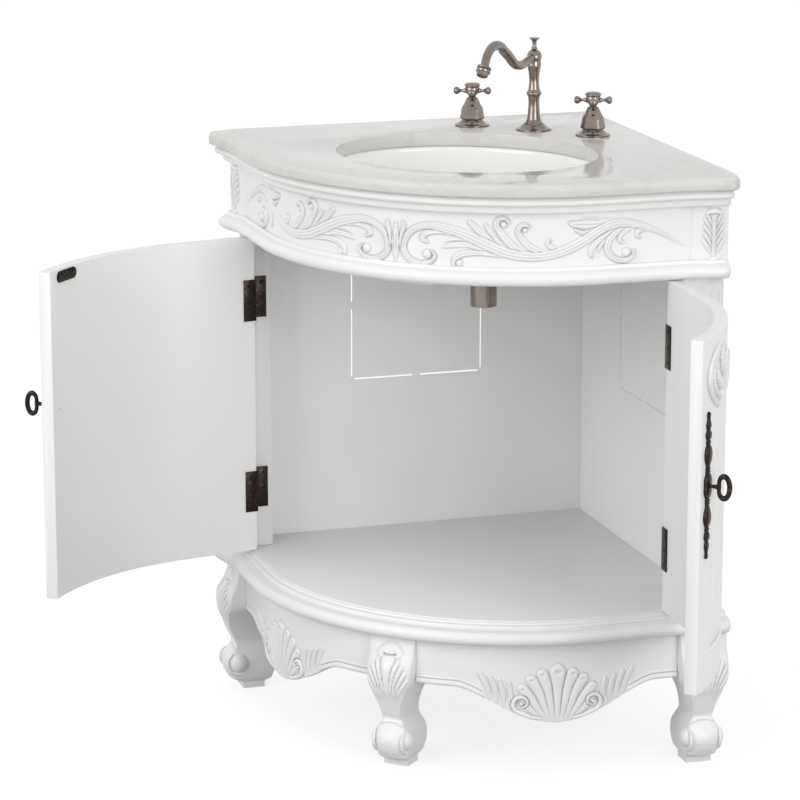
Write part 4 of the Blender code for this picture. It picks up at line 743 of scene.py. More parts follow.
def carve_apron(name, side):
    """The board's face, with its lower edge sawn to the lobe and the carving and bead that follow it."""
    across = np.linspace(APRON_START, APRON_END, 401)
    share = np.linspace(0, 1, 106)[:, None]
    low = lobe_edge(across)[None]
    up = low + (LEG_HEIGHT - low) * share
    across = np.repeat(across[None], len(share), axis=0)
    shell = Carving(np.abs(across - LOBE_MIDDLE) * 1000, up * 1000)
    above = (up - low) * 1000
    beyond_shell = np.clip((shell.across - SHELL_REACH) / 6, 0, 1)
    bead = BEAD_HEIGHT * np.sqrt(np.clip(1 - ((above - BEAD_HALF) / BEAD_HALF) ** 2, 0, 1))
    lines = ridge(above - RIDGE_ABOVE, 1.1) - 0.9 * ridge(above - CUT_ABOVE, 0.8)
    shell.rise = (bead + lines) * beyond_shell
    for feather in FEATHERS:
        shell.stroke(feather, strands=2, keep=0.2)
    for rib in (*SHELL_RIBS, SHELL_MIDDLE):
        shell.stroke(rib, moat=0.5, keep=0.45)
    for x, z, radius, depth in SHELL_THUMBS:
        away = np.hypot(shell.across - x, (shell.up - z) * 1.5) / radius
        shell.rise -= depth * np.clip(1 - away**2, 0, 1)
    shell.stroke(SHELL_SCROLL, moat=0.9, keep=0.1)
    shell.knob(53, 111, 3.4, 4.4)
    shell.rise = shell.rise * np.clip(above / 1.6, 0, 1) ** 0.5
    front = on_bow(side, APRON_REACH, across, shell.rise / 1000, up)
    pinched = across + APRON_PINCH * (APRON_END - across) / (APRON_END - APRON_START)
    back = on_bow(side, APRON_REACH, pinched, -APRON_THICKNESS + 0 * up, up)
    return carved_board(name, front, back, shell.painted_shade_depths())


for side_name, side in SIDES.items():
    node = f"{side_name}_apron"
    fit(carve_apron("carved_" + node, side), paint, "cabinet", node, smooth_deg=60)

# Base moulding and cabinet floor: a run moulding with a step, a bead and a large half-round on the legs,
# glued round the front edge of the quarter-round board that closes the cabinet below.
fit(eased("base_moulding", "painted_base_moulding", width=0.0009), paint, "cabinet", "base_moulding")
fit(eased("cabinet_floor", "painted_cabinet_floor", width=0.0012), paint, "cabinet", "cabinet_floor")

# Back panels: thin white boards let in behind the posts, meeting in the room's corner. Each has a
# knock-out for the pipes, sawn round except for small tabs.
for side_name in SIDES:
    node = f"{side_name}_back_panel"
    fit(eased(node, "painted_" + node, width=0.0004, segments=1), paint, "cabinet", node, smooth_deg=30)

# Corner posts: a fluted pilaster below, and beside the frieze a block with a rolled acanthus leaf. Five
# strokes of the leaf lie either side of a plain spine, under a cap with a slit.
POST_FACE = 0.570
POST_SWELL = 0.009
BLOCK_WIDTH = 0.0534
LEAF_LOW = 0.7540
LEAF_HIGH = 0.8322
LEAF_DEPTH = 0.004
LEAF_PROUD = 0.0002
LEAF_MIDDLE = 0.0225
# In millimetres
LEAF_LONG = 78
LEAF_HALF = 13.5
LEAF_WAVE = 3.0
LEAF_BODY = 1.6
LEAF_LOBES = [
    [(2.6, 8, 1.2, 1.0), (7, 14, 2.4, 3.0), (10.5, 22, 3.0, 3.4), (15, 27.5, 2.6, 2.8)],
    [(3.0, 18, 1.2, 1.2), (6, 25, 2.4, 3.4), (10, 33, 3.0, 3.6), (14.6, 39, 2.6, 3.0)],
    [(2.8, 28, 1.2, 1.4), (5.6, 36, 2.4, 3.8), (9.6, 43.5, 2.9, 3.8), (14, 49, 2.5, 3.2)],
    [(2.6, 38, 1.2, 1.6), (5.2, 45.5, 2.3, 4.0), (9, 52.5, 2.7, 3.9), (12.6, 58, 2.3, 3.2)],
    [(2.4, 47, 1.2, 1.8), (4.8, 54, 2.2, 4.2), (7.8, 60.5, 2.4, 4.0), (10.4, 65, 2.0, 3.4)],
]
LEAF_SPINE = [(0, 3, 3.4, 1.8), (0, 20, 2.8, 3.4), (0, 44, 3.2, 4.4), (0, 62, 4.6, 4.6), (0, 66, 5.2, 4.4)]
LEAF_CAP = [(-8.6, 68.8, 3.8, 4.2), (0, 71, 4.6, 5.0), (8.6, 68.8, 3.8, 4.2)]
LEAF_SLIT = [(0, 66.4, 0.6, 2.6), (7, 65.4, 0.9, 3.0)]
LEAF_TIP = [(-9, 3.5, 2.4, 2.2), (0, 1.0, 2.6, 2.6), (9, 3.5, 2.4, 2.2)]


def carve_post(node, name, side):
    """The eased post with a closed carved plate let into the face of its block."""
    off = np.linspace(0.0006, BLOCK_WIDTH - 0.0008, 72)
    off, up = np.meshgrid(off, np.linspace(LEAF_LOW, LEAF_HIGH, 106))
    signed = Carving((off - LEAF_MIDDLE) * 1000, (up - LEAF_LOW) * 1000)
    leaf = Carving(np.abs(signed.across), signed.up)
    half = LEAF_HALF + LEAF_WAVE * np.cos(leaf.up / LEAF_LONG * math.pi * 2)
    body = np.clip(1 - (leaf.across / half) ** 2, 0, 1)
    ends = np.clip((leaf.up - 1) / 6, 0, 1) * np.clip((LEAF_LONG - 2 - leaf.up) / 6, 0, 1)
    leaf.rise = LEAF_BODY * body**0.6 * ends
    for lobe in LEAF_LOBES:
        leaf.stroke(lobe, strands=2, keep=0.2)
    leaf.stroke(LEAF_SPINE, strands=3, moat=0.5)
    signed.stroke(LEAF_CAP)
    signed.stroke(LEAF_TIP)
    leaf.rise = np.maximum(leaf.rise, signed.rise)
    leaf.groove(LEAF_SLIT)
    nearness = np.clip((1 - off / BLOCK_WIDTH) / 0.67, 0, 1)
    face = POST_FACE + POST_SWELL * np.sin(nearness * math.pi / 2) + LEAF_PROUD
    fade = np.clip((BLOCK_WIDTH - off) / 0.004, 0, 1)
    front = np.stack(off_wall(side, face + leaf.rise / 1000 * fade, off, up), axis=-1)
    back = np.stack(off_wall(side, face - LEAF_DEPTH, off, up), axis=-1)
    plate = carved_board(name + "_leaf", front, back, leaf.painted_shade_depths())
    return joined(name, eased(node, name, width=0.0006, segments=1), plate)


for side_name, side in SIDES.items():
    node = f"{side_name}_post"
    fit(carve_post(node, "carved_" + node, side), paint, "cabinet", node, smooth_deg=50)

# Frieze: the bowed board under the top moulding, with a running scroll of acanthus carved on its face.
# One half is drawn from the middle lily to the post, and the other half mirrors it.
FRIEZE_REACH = 0.570
FRIEZE_LOW = 0.7278
FRIEZE_HIGH = 0.8320
FRIEZE_HALF = 0.4346
CARVING_FOOT = 0.7544
FRIEZE_THICKNESS = 0.018
FRIEZE_CELL = 0.00095
LEAVES = [
    [(162.5, 22, 3, 1.5), (142.5, 35.5, 4.5, 3), (127.5, 48, 4.8, 3), (117, 57.5, 4.5, 3.6),
     (110.5, 63.5, 3.2, 3.8)],
    [(160, 25.5, 2, 1.5), (147.5, 40.5, 3.2, 3), (138, 53.5, 3.5, 3), (132.5, 60.5, 2.5, 3.4)],
    [(192.5, 15.5, 2.5, 1.6), (176, 26, 5, 3.4), (164, 37.5, 5.5, 3.4), (154, 50, 5, 3.4),
     (148, 60.5, 4.2, 4.2), (151, 68.5, 3.5, 4.6), (159.5, 70.5, 3, 4.6), (165.5, 64.5, 2.2, 4.2)],
    [(226, 18, 2.5, 1.6), (211, 21.5, 4.5, 3.4), (196, 29, 5, 3.4), (185.5, 39, 4.8, 3.4),
     (179, 49, 4, 4), (180.5, 57.5, 3.2, 4.4), (187, 61, 3, 4.4), (194, 58.5, 2, 4)],
    [(255, 24, 1.8, 1.4), (239, 25, 3, 2.8), (226.5, 28, 3.5, 2.8), (220, 33, 3, 3.4),
     (221.5, 38, 2, 3.6), (225.5, 39, 1.2, 3.2)],
    [(150, 26.5, 2, 1.4), (125, 34, 3, 2.6), (105, 39.5, 3.8, 2.6), (87.5, 39, 3.5, 2.6),
     (75, 34.5, 1, 1.6)],
    [(155, 20, 2, 1.4), (127.5, 25.5, 3.2, 2.8), (107.5, 31, 4.2, 2.8), (87.5, 30, 3.8, 2.8),
     (75, 27, 2, 2.8), (67, 26, 0.5, 1.2)],
    [(170, 13.5, 1.5, 1.4), (142.5, 18, 2.8, 3.2), (119, 20, 3.8, 3.2), (100.5, 17.5, 4.5, 3.6),
     (90.5, 11.5, 4.8, 4), (88, 4, 3.5, 4)],
    [(332.5, 61, 2, 1.6), (307.5, 63.5, 3.5, 3), (285, 65.5, 3.8, 3), (270, 66.5, 2.5, 2.6)],
    [(337.5, 57.5, 3, 1.8), (315, 58.5, 6, 3.4), (292.5, 59, 7, 3.4), (272.5, 59.5, 7, 4),
     (257.5, 60.5, 4.5, 4.4), (251, 63.5, 2, 4)],
    [(330, 54.5, 2, 1.6), (305, 52, 3.8, 3.2), (285, 50.5, 4.2, 3.2), (272.5, 47.5, 3.2, 3.6),
     (260, 52, 2.2, 3.4)],
    [(332.5, 54, 2, 1.6), (310, 46, 3.5, 3), (294, 35.5, 4.2, 3), (284.5, 25.5, 3.8, 3.6),
     (282.5, 16, 2.8, 3.8), (285.5, 11, 1, 2.6)],
    [(335, 52, 1.5, 1.4), (315, 43, 2.8, 2.8), (301, 33, 3, 2.8), (295, 24, 2.2, 3.2),
     (294.5, 18, 1, 2.4)],
    [(347.5, 55, 2, 1.8), (326, 48.5, 3.8, 3.6), (312, 38.5, 4.8, 3.6), (307, 26, 5, 3.6),
     (311.5, 14, 4.5, 4.2), (323, 6.5, 4, 4.6), (336.5, 5.5, 3.5, 4.8), (346.5, 12, 3, 4.6),
     (347, 19.5, 1.8, 4.2)],
    [(357.5, 54.5, 1.5, 1.6), (339, 50, 3, 3), (328, 42.5, 3.5, 3), (325.5, 35, 3, 3.8),
     (330.5, 31, 1.8, 3.6)],
    [(405, 34, 1, 1.2), (382.5, 43.5, 2.2, 2.8), (366.5, 48, 3, 2.8), (354.5, 46.5, 3.5, 3.6),
     (351.5, 40, 2.8, 3.8), (356.5, 36, 1.5, 3.4)],
    [(110, 41, 1.5, 1.4), (85, 46, 2.5, 3.2), (62.5, 48, 3.5, 3.2), (46.5, 44.5, 4.2, 3.8),
     (41.5, 37, 3.5, 4.2), (49, 32.5, 2, 3.8)],
]
STEM = [
    (426, 19.5, 0.5, 0.8), (410, 29, 1.8, 1.4), (390, 40.5, 3, 2.2), (370, 49.5, 4, 2.8),
    (350, 56, 5, 3.2), (330, 59, 6, 3.4), (310, 56.5, 6.8, 3.6), (292.5, 49, 7.2, 3.6),
    (275, 38, 7.2, 3.6), (255, 27.5, 7, 3.6), (232.5, 19.5, 6.5, 3.6), (207.5, 15.5, 6.5, 3.6),
    (182.5, 16.5, 7, 3.6), (160, 21.5, 7.5, 3.6), (140, 29.5, 7.8, 3.6), (120, 38.5, 7.8, 3.6),
    (100, 46.5, 7.2, 3.6), (80, 52.5, 6.5, 3.6), (60, 56, 5.8, 3.9), (42.5, 55, 5, 4.2),
    (27, 48.5, 4.8, 4.6), (16.5, 37.5, 4.8, 4.8), (12, 24.5, 4.8, 5), (15.5, 12, 4.8, 5),
    (26.5, 3.5, 4.5, 5), (41.5, 0.5, 4, 5), (54.5, 5, 3.2, 4.8), (60, 13, 2.5, 4.6),
    (55, 20, 1.8, 4.4),
]
LILY = [(0, 1.5, 1.5, 2), (0, 13, 4, 3.4), (0, 28, 5.8, 4.6), (0, 43.5, 4.5, 4.2), (0, 57.5, 1.2, 3)]
LILY_PETAL = [(2.5, 10.5, 1.5, 1.8), (6, 25.5, 2.5, 3.2), (9.5, 40.5, 3, 3.6), (13, 53.5, 3, 4),
              (11.5, 60, 1.5, 3.4)]
BERRIES = [(158.5, 61, 4.2, 4.2), (188, 53.5, 3.5, 4), (95.5, 4.5, 4.8, 4.2), (336, 16.5, 6.2, 4.6),
           (48.5, 15, 6.5, 5)]


def carve_frieze(name):
    """The whole board's face, on which the strokes of one half are cut on both sides of the middle."""
    columns = 2 * round(FRIEZE_HALF / FRIEZE_CELL) + 1
    rows = round((FRIEZE_HIGH - FRIEZE_LOW) / FRIEZE_CELL) + 1
    across, up = np.meshgrid(
        np.linspace(-FRIEZE_HALF, FRIEZE_HALF, columns), np.linspace(FRIEZE_LOW, FRIEZE_HIGH, rows)
    )
    sides = np.where(across < 0, -1, 1)
    across = np.abs(across)
    scroll = Carving(across * 1000, (up - CARVING_FOOT) * 1000)
    for leaf in LEAVES:
        scroll.stroke(leaf, strands=2)
    scroll.stroke(STEM, strands=3)
    scroll.stroke(LILY_PETAL, strands=2)
    scroll.stroke(LILY, strands=3)
    for berry in BERRIES:
        scroll.knob(*berry, ring=0.5)
    scroll.rise[up < CARVING_FOOT - 0.002] = 0
    front = on_bow(sides, FRIEZE_REACH, across, scroll.rise / 1000, up)
    back = on_bow(sides, FRIEZE_REACH, across, -FRIEZE_THICKNESS + 0 * up, up)
    return carved_board(name, front, back, scroll.painted_shade_depths())


fit(carve_frieze("carved_frieze_board"), paint, "cabinet", "frieze_board", smooth_deg=70)

# Torus rail and top moulding: run mouldings of painted wood, bent round the front and over both posts.
# The first lies under the frieze, and the second, in two rounded steps, carries the marble.
fit(eased("torus_rail", "painted_torus_rail", width=0.0006), paint, "cabinet", "torus_rail")
fit(eased("top_moulding", "painted_top_moulding", width=0.0005), paint, "cabinet", "top_moulding")

# Countertop: one slab of polished cream marble with a full rounded front edge, sawn out for the sink and
# drilled for the faucet. Faint veins of grey and rose drift through it.
COUNTER_LOW = 0.8583
COUNTER_HIGH = 0.8780
COUNTER_REACH = 0.604
COUNTER_SWELL = 0.011
COUNTER_BACK = -0.007
COUNTER_CORNER = 0.016
COUNTER_CHAMFER = 0.004
ROOM_CORNER_Y = 0.045
SINK_EASING = 0.0022
# Level of the edge, how far it is rounded over, and in how many steps
COUNTER_EDGES = ((COUNTER_HIGH, 0.0078, 6), (COUNTER_LOW, 0.0035, 3))
SWELL_RUN = 0.0534 * 1.6
SINK_HALF_WIDTH = 0.198
SINK_HALF_DEPTH = 0.168
SINK_MIDDLE_Y = -0.3816385
SPOUT_Y = SINK_MIDDLE_Y + SINK_HALF_DEPTH + 0.0618
HANDLE_Y = SINK_MIDDLE_Y + SINK_HALF_DEPTH + 0.0558
HANDLE_X = 0.1016
FAUCET_HOLE = 0.0165
SAW_LOW = 0.80
SAW_HIGH = 0.90

marble = Finish("cream_marble")
cloud = marble.noise(5.0, 4.0, twist=0.6)
drawn_out = marble.stretched((1.6, 4.2, 3.0), 0.6)
vein = marble.window(1 - 2 * abs(marble.noise(1.7, 6.0, drawn_out, 2.2) - 0.5), 0.93, 0.995)
thread = marble.window(1 - 2 * abs(marble.noise(3.6, 8.0, drawn_out, 3.0) - 0.5), 0.955, 0.998)
base = marble.blend(cloud, (0.630, 0.624, 0.605), (0.684, 0.680, 0.663))
rosy = marble.blend((vein * 0.24).held(), base, (0.56, 0.50, 0.46))
marble.set("Base Color", marble.blend((thread * 0.12).held(), rosy, (0.46, 0.46, 0.455)))
marble.set("Roughness", 0.07 + 0.06 * marble.noise(34.0, 3.0))
marble.set("Specular IOR Level", 0.16)


def counter_outline():
    """The slab's plan, from its right end round the front to its left end and the room's corner."""
    places = list(np.linspace(COUNTER_BACK, COUNTER_BACK + COUNTER_CORNER, 9))
    places += list(np.linspace(COUNTER_BACK + COUNTER_CORNER, ARC_INSET, 44)[1:-1])
    line = []
    for off in places:
        nearness = min(1, max(0, 1 - off / SWELL_RUN))
        out = COUNTER_SWELL * nearness * nearness * (3 - 2 * nearness)
        left = COUNTER_CORNER - (off - COUNTER_BACK)
        if left > 0:
            out -= COUNTER_CORNER - math.sqrt(max(0, COUNTER_CORNER**2 - left**2))
        line.append(off_wall(1, COUNTER_REACH + out, off)[:2])
    radius = COUNTER_REACH - ARC_INSET
    for turn in np.linspace(math.pi / 4, 0, 33):
        line.append((radius * math.sin(turn), ARC_CENTRE_Y - radius * math.cos(turn)))
    line += [(-x, y) for x, y in reversed(line[:-1])]
    return line + [off_wall(end, COUNTER_BACK + COUNTER_CHAMFER, COUNTER_BACK)[:2] for end in (-1, 1)]


def cutter(radius_x, radius_y, place, low, high, steps):
    """A round or oval tool that stands upright between two heights."""
    bpy.ops.object.select_all(action="DESELECT")
    bpy.ops.mesh.primitive_cylinder_add(vertices=steps, radius=1, depth=high - low,
                                        location=(*place, (high + low) / 2))
    made = bpy.context.object
    made.scale = (radius_x, radius_y, 1)
    fix_place(made)
    return made


def cut_out(piece, tool):
    """Cuts a tool's shape out of a piece, and puts the tool away."""
    apply_step(piece, "BOOLEAN", object=tool, operation="DIFFERENCE", solver="EXACT")
    bpy.data.objects.remove(tool)


def saw_counter():
    """The slab is drawn up from its plan, its edge rounded over, and the sink and faucet holes cut."""
    outline = counter_outline()
    bpy.ops.object.select_all(action="DESELECT")
    bpy.ops.mesh.primitive_circle_add(vertices=len(outline), radius=1, fill_type="NGON")
    slab = bpy.context.object
    slab.name = "polished_countertop"
    move_points(slab, [(x, y, COUNTER_LOW) for x, y in outline])
    bpy.ops.object.mode_set(mode="EDIT")
    bpy.ops.mesh.select_all(action="SELECT")
    bpy.ops.mesh.extrude_region_move(TRANSFORM_OT_translate={"value": (0, 0, COUNTER_HIGH - COUNTER_LOW)})
    bpy.ops.mesh.select_all(action="SELECT")
    bpy.ops.mesh.normals_make_consistent(inside=False)
    for height, offset, segments in COUNTER_EDGES:
        bpy.ops.object.mode_set(mode="OBJECT")
        flat = points_of(slab)
        level = np.abs(flat[:, 2] - height) < 0.0001
        select_points(slab, level & (flat[:, 1] <= ROOM_CORNER_Y))
        bpy.ops.mesh.bevel(offset=offset, segments=segments, affect="EDGES", clamp_overlap=False)
    bpy.ops.object.mode_set(mode="OBJECT")
    sink_saw = cutter(SINK_HALF_WIDTH, SINK_HALF_DEPTH, (0, SINK_MIDDLE_Y), SAW_LOW, SAW_HIGH, 120)
    cut_out(slab, sink_saw)
    round_edges(slab, SINK_EASING, 3, 70)
    for place in ((0, SPOUT_Y), (-HANDLE_X, HANDLE_Y), (HANDLE_X, HANDLE_Y)):
        cut_out(slab, cutter(FAUCET_HOLE, FAUCET_HOLE, place, SAW_LOW, SAW_HIGH, 40))
    return slab


fit(saw_counter(), marble, "cabinet", "countertop", smooth_deg=40)

# Sink: an oval bowl of white vitreous china, cast as one shell with a flange that is clipped and sealed
# under the marble. Its floor falls to the drain, set back from the middle.
BOWL_TOP = 0.8577
BOWL_DEPTH = 0.135
BOWL_FLOOR = BOWL_TOP - BOWL_DEPTH
BOWL_WALL = 0.008
BOWL_STEPS = 112
BOWL_HALF = (0.200, 0.170)
FLANGE = 0.022
BOWL_LIP = 0.003
DRAIN_Y = -0.3218385
DRAIN_HOLE = 0.0225
DRAIN_REBATE = 0.0310
# Share of the depth, share of the width left, share of the way to the drain
BOWL_ROWS = [
    (0.00, 1.00, 0.00),
    (0.18, 0.985, 0.02),
    (0.40, 0.95, 0.06),
    (0.62, 0.87, 0.14),
    (0.80, 0.74, 0.30),
    (0.92, 0.54, 0.55),
    (0.98, 0.32, 0.85),
]

china = Finish("white_ceramic")
china.set("Base Color", china.blend(china.noise(3.0, 2.0), (0.925, 0.921, 0.908), (0.940, 0.937, 0.926)))
china.set("Roughness", 0.035 + 0.05 * china.noise(12.0, 2.0))
china.set("Coat Weight", 0.5)
china.set("Coat Roughness", 0.03)


def cast_bowl():
    """The bowl's inner skin, ring by ring from the flange down to the drain, and then its wall."""
    turn = np.linspace(0, 2 * math.pi, BOWL_STEPS, endpoint=False)
    rings = []

    def ring(half_x, half_y, middle_y, height):
        y = middle_y + half_y * np.sin(turn)
        rings.append(np.stack([half_x * np.cos(turn), y, height + 0 * turn], axis=-1))

    for wider in (FLANGE, BOWL_LIP):
        ring(BOWL_HALF[0] + wider, BOWL_HALF[1] + wider, SINK_MIDDLE_Y, BOWL_TOP)
    depths = np.unique(np.concatenate([np.linspace(0.02, 0.98, 26), [row[0] for row in BOWL_ROWS[1:]]]))
    for depth, (width, drain_share) in zip(depths, settle(depths, BOWL_ROWS)):
        middle = SINK_MIDDLE_Y + (DRAIN_Y - SINK_MIDDLE_Y) * drain_share
        ring(BOWL_HALF[0] * width, BOWL_HALF[1] * width, middle, BOWL_TOP - BOWL_DEPTH * depth)
    ring(DRAIN_REBATE, DRAIN_REBATE, DRAIN_Y, BOWL_FLOOR + 0.0001)
    ring(DRAIN_HOLE, DRAIN_HOLE, DRAIN_Y, BOWL_FLOOR)
    bowl = ringed("cast_sink_bowl", rings[::-1], capped=False)
    apply_step(bowl, "SOLIDIFY", thickness=BOWL_WALL, offset=-1, use_even_offset=True)
    return bowl


fit(cast_bowl(), china, "cabinet", "sink_bowl", smooth_deg=50)

# Drain: a plated body through the bowl, clamped by a brass nut, with a tailpiece below and a domed
# stopper that lifts. The plating is a brushed bronze-toned nickel, as on the faucet.
nickel = Finish("brushed_nickel", metallic=1.0)
brush = nickel.noise(1.0, 4.0, nickel.stretched((260.0, 260.0, 2600.0)))
tone = nickel.noise(42.0, 3.0)
nickel.set("Base Color", nickel.blend(tone, (0.17, 0.142, 0.125), (0.33, 0.285, 0.255)))
nickel.set("Roughness", 0.10 + 0.14 * brush)
nickel.relief(brush, 0.00003, 0.35)

# One wave in each 1.5 mm of height
THREAD_WAVE = 4190.0
brass = Finish("threaded_brass", metallic=1.0)
height_along = brass.node("ShaderNodeSeparateXYZ", {}, {"Vector": brass.place()}, "Z")
thread_wave = brass.node("ShaderNodeMath", {"operation": "SINE"}, {0: height_along * THREAD_WAVE})
brass.set("Base Color", brass.blend(brass.noise(60.0, 3.0), (0.42, 0.33, 0.19), (0.62, 0.51, 0.31)))
brass.set("Roughness", 0.28 + 0.2 * brass.noise(140.0, 2.0))
brass.relief(thread_wave, 0.0002, 0.6)

FLANGE_HIGH = BOWL_FLOOR + 0.0033
SEAT_GAP = 0.0003
NUT_HIGH = BOWL_FLOOR - BOWL_WALL - SEAT_GAP
SLEEVE_HIGH = BOWL_FLOOR - 0.040
STOPPER_SEAT = FLANGE_HIGH + 0.0083
# Radius, and height from the level that the piece is measured from
DRAIN_BODY_ROWS = [
    (0.0150, -0.0015), (0.0180, -0.0002), (0.0215, 0), (0.0252, -0.0003), (0.0272, -0.0011),
    (0.0283, -0.0022), (0.0285, -0.0030), (0.0185, -0.0030), (0.0185, -0.066), (0.0150, -0.066),
]
DRAIN_NUT_ROWS = [
    (0.0189, 0), (0.0278, 0), (0.0290, -0.0012), (0.0290, -0.0108), (0.0278, -0.012), (0.0189, -0.012),
]
TAILPIECE_ROWS = [
    (0.0189, 0), (0.0208, 0), (0.0215, -0.0010), (0.0215, -0.0060), (0.0209, -0.0070), (0.0200, -0.0076),
    (0.0200, -0.0452), (0.0196, -0.046), (0.0189, -0.046),
]
STOPPER_ROWS = [
    (0, 0.0060), (0.0060, 0.0058), (0.0110, 0.0052), (0.0150, 0.0044), (0.0176, 0.0034), (0.0188, 0.0024),
    (0.0190, 0.0012), (0.0186, 0), (0.0040, 0), (0.0040, -0.0217), (0.0146, -0.0219), (0.0146, -0.0258),
    (0.0040, -0.0260), (0.0040, -0.0300), (0, -0.0300),
]


def drain_part(name, rows, level, steps, bored=True):
    """A turned piece of the drain, on the drain hole's axis."""
    return turned(name, rows, (0, DRAIN_Y, level), steps, bored)


drain_body = drain_part("drain_body_plated", DRAIN_BODY_ROWS, FLANGE_HIGH, 64)
fit(drain_body, nickel, "cabinet", "drain_body", smooth_deg=30)
drain_nut = drain_part("drain_nut_knurled", DRAIN_NUT_ROWS, NUT_HIGH, 48)
fit(drain_nut, brass, "cabinet", "drain_nut", smooth_deg=30)
tailpiece = drain_part("drain_tailpiece_plated", TAILPIECE_ROWS, SLEEVE_HIGH, 64)
fit(tailpiece, nickel, "cabinet", "drain_tailpiece", smooth_deg=30)
stopper = drain_part("domed_stopper", STOPPER_ROWS, STOPPER_SEAT, 48, bored=False)
fit(stopper, nickel, "stopper", "drain_stopper", smooth_deg=35)

# Faucet spout: a round rose on the marble, a turned column with a ball on top, and a swan-neck tube that
# ends in a flared aerator. The pop-up's lift rod runs down the column under a turned finial.
COLUMN_RADIUS = 0.0115
COLUMN_FOOT = [(0.0143, 0.0004), (0.0145, 0), (0.0130, 0)]
COLUMN_BORES = [(0.0130, 0.803), (0.0024, 0.803)]
BALL_RADIUS = 0.0115
BALL_HEIGHT = COUNTER_HIGH + 0.1235 - BALL_RADIUS
ROSE_HIGH = 0.8878
ROSE_RISE = 0.0095
ROSE_BORE = 0.0133
SPOUT_ROSE_RADIUS = 0.0270
FINIAL_RADIUS = 0.0078
FINIAL_HEIGHT = 0.0175
FINIAL_TIP = 0.0178
ROD_RADIUS = 0.0020
ROD_LENGTH = 0.185
TUBE_RADIUS = 0.0060
AERATOR_RADIUS = 0.0110
AERATOR_LENGTH = 0.016
# Share of the height, and of the radius
ROSE_ROWS = [
    (1.00, 0.58), (0.93, 0.60), (0.84, 0.615), (0.78, 0.66), (0.70, 0.70), (0.58, 0.735), (0.44, 0.80),
    (0.34, 0.87), (0.28, 0.93), (0.25, 0.975), (0.20, 1.00), (0.05, 1.00), (0.00, 0.985),
]
COLUMN_ROWS = [
    (0.925, 0.90), (0.863, 0.92), (0.800, 0.80), (0.720, 0.69), (0.643, 0.645), (0.560, 0.70), (0.500, 0.80),
    (0.480, 0.91), (0.465, 1.00), (0.450, 1.02), (0.435, 0.97), (0.415, 0.84), (0.370, 0.76), (0.300, 0.735),
    (0.200, 0.78), (0.100, 0.87), (0.055, 0.94), (0.030, 1.06), (0.000, 1.20),
]
FINIAL_ROWS = [
    (1.00, 0.70), (0.975, 0.93), (0.92, 1.00), (0.87, 0.94), (0.78, 0.66), (0.64, 0.48), (0.45, 0.42),
    (0.22, 0.44), (0.10, 0.56), (0.00, 0.66),
]
AERATOR_ROWS = [
    (0.05, 0.86), (0.10, 0.97), (0.20, 1.00), (0.28, 0.94), (0.34, 0.82), (0.40, 0.84), (0.45, 0.96),
    (0.54, 1.00), (0.64, 0.95), (0.70, 0.82), (0.97, 0.78), (1.00, 0.74), (1.00, 0.62), (0.85, 0.60),
    (0.85, 0.00),
]
TUBE_POINTS = [(0.0050, 0.1115), (0.0600, 0.1065), (0.0960, 0.1280), (0.1315, 0.1450), (0.1600, 0.1358),
               (0.1710, 0.1190)]
TUBE_THICK = [1.00, 1.15, 1.28, 1.20, 1.08, 1.02]


def rose(name, radius, place):
    """The flared round plate that covers a faucet hole."""
    low = COUNTER_HIGH + SEAT_GAP
    profile = [(radius * share, low + ROSE_RISE * height) for height, share in ROSE_ROWS]
    return turned(name, profile + [(ROSE_BORE, low), (ROSE_BORE, ROSE_HIGH)], place, 64, bored=True)


spout_place = (0, SPOUT_Y, 0)
fit(rose("spout_rose", SPOUT_ROSE_RADIUS, spout_place), nickel, "cabinet", "spout_escutcheon", smooth_deg=28)
foot = ROSE_HIGH + SEAT_GAP
outline = [(BALL_RADIUS * math.cos(a), BALL_HEIGHT + BALL_RADIUS * math.sin(a))
           for a in np.radians(np.linspace(78, -28, 22))]
outline += [(COLUMN_RADIUS * share, foot + (BALL_HEIGHT - foot) * height)
            for share, height in smooth_profile(COLUMN_ROWS, 70)]
outline += [(radius, foot + height) for radius, height in COLUMN_FOOT] + COLUMN_BORES
fit(turned("turned_spout_column", outline, spout_place, 64, bored=True), nickel, "cabinet", "spout_column",
    smooth_deg=40)
seat = BALL_HEIGHT + BALL_RADIUS + SEAT_GAP
finial = [(0, seat + FINIAL_TIP)]
finial += [(FINIAL_RADIUS * share, seat + FINIAL_HEIGHT * height)
           for share, height in smooth_profile(FINIAL_ROWS, 26)]
finial += [(ROD_RADIUS, seat), (ROD_RADIUS, seat - ROD_LENGTH), (0, seat - ROD_LENGTH)]
fit(turned("turned_lift_rod", finial, spout_place, 40), nickel, "lift_rod", "lift_rod", smooth_deg=40)


def swan_neck():
    """The tube is bent along one curve and then drawn thicker where it meets the column and the mouth."""
    bpy.ops.object.select_all(action="DESELECT")
    bpy.ops.curve.primitive_bezier_curve_add(radius=1)
    tube = bpy.context.object
    tube.name = "swan_neck_tube"
    curve = tube.data
    curve.dimensions = "3D"
    curve.resolution_u = 16
    curve.render_resolution_u = 16
    curve.bevel_depth = TUBE_RADIUS
    curve.bevel_resolution = 10
    curve.use_fill_caps = True
    spline = curve.splines[0]
    spline.bezier_points.add(len(TUBE_POINTS) - 2)
    for point, (forward, up), thick in zip(spline.bezier_points, TUBE_POINTS, TUBE_THICK):
        point.co = (0, SPOUT_Y - forward, COUNTER_HIGH + up)
        point.handle_left_type = point.handle_right_type = "AUTO"
        point.radius = thick
    take(tube)
    bpy.ops.object.convert(target="MESH")
    return bpy.context.object


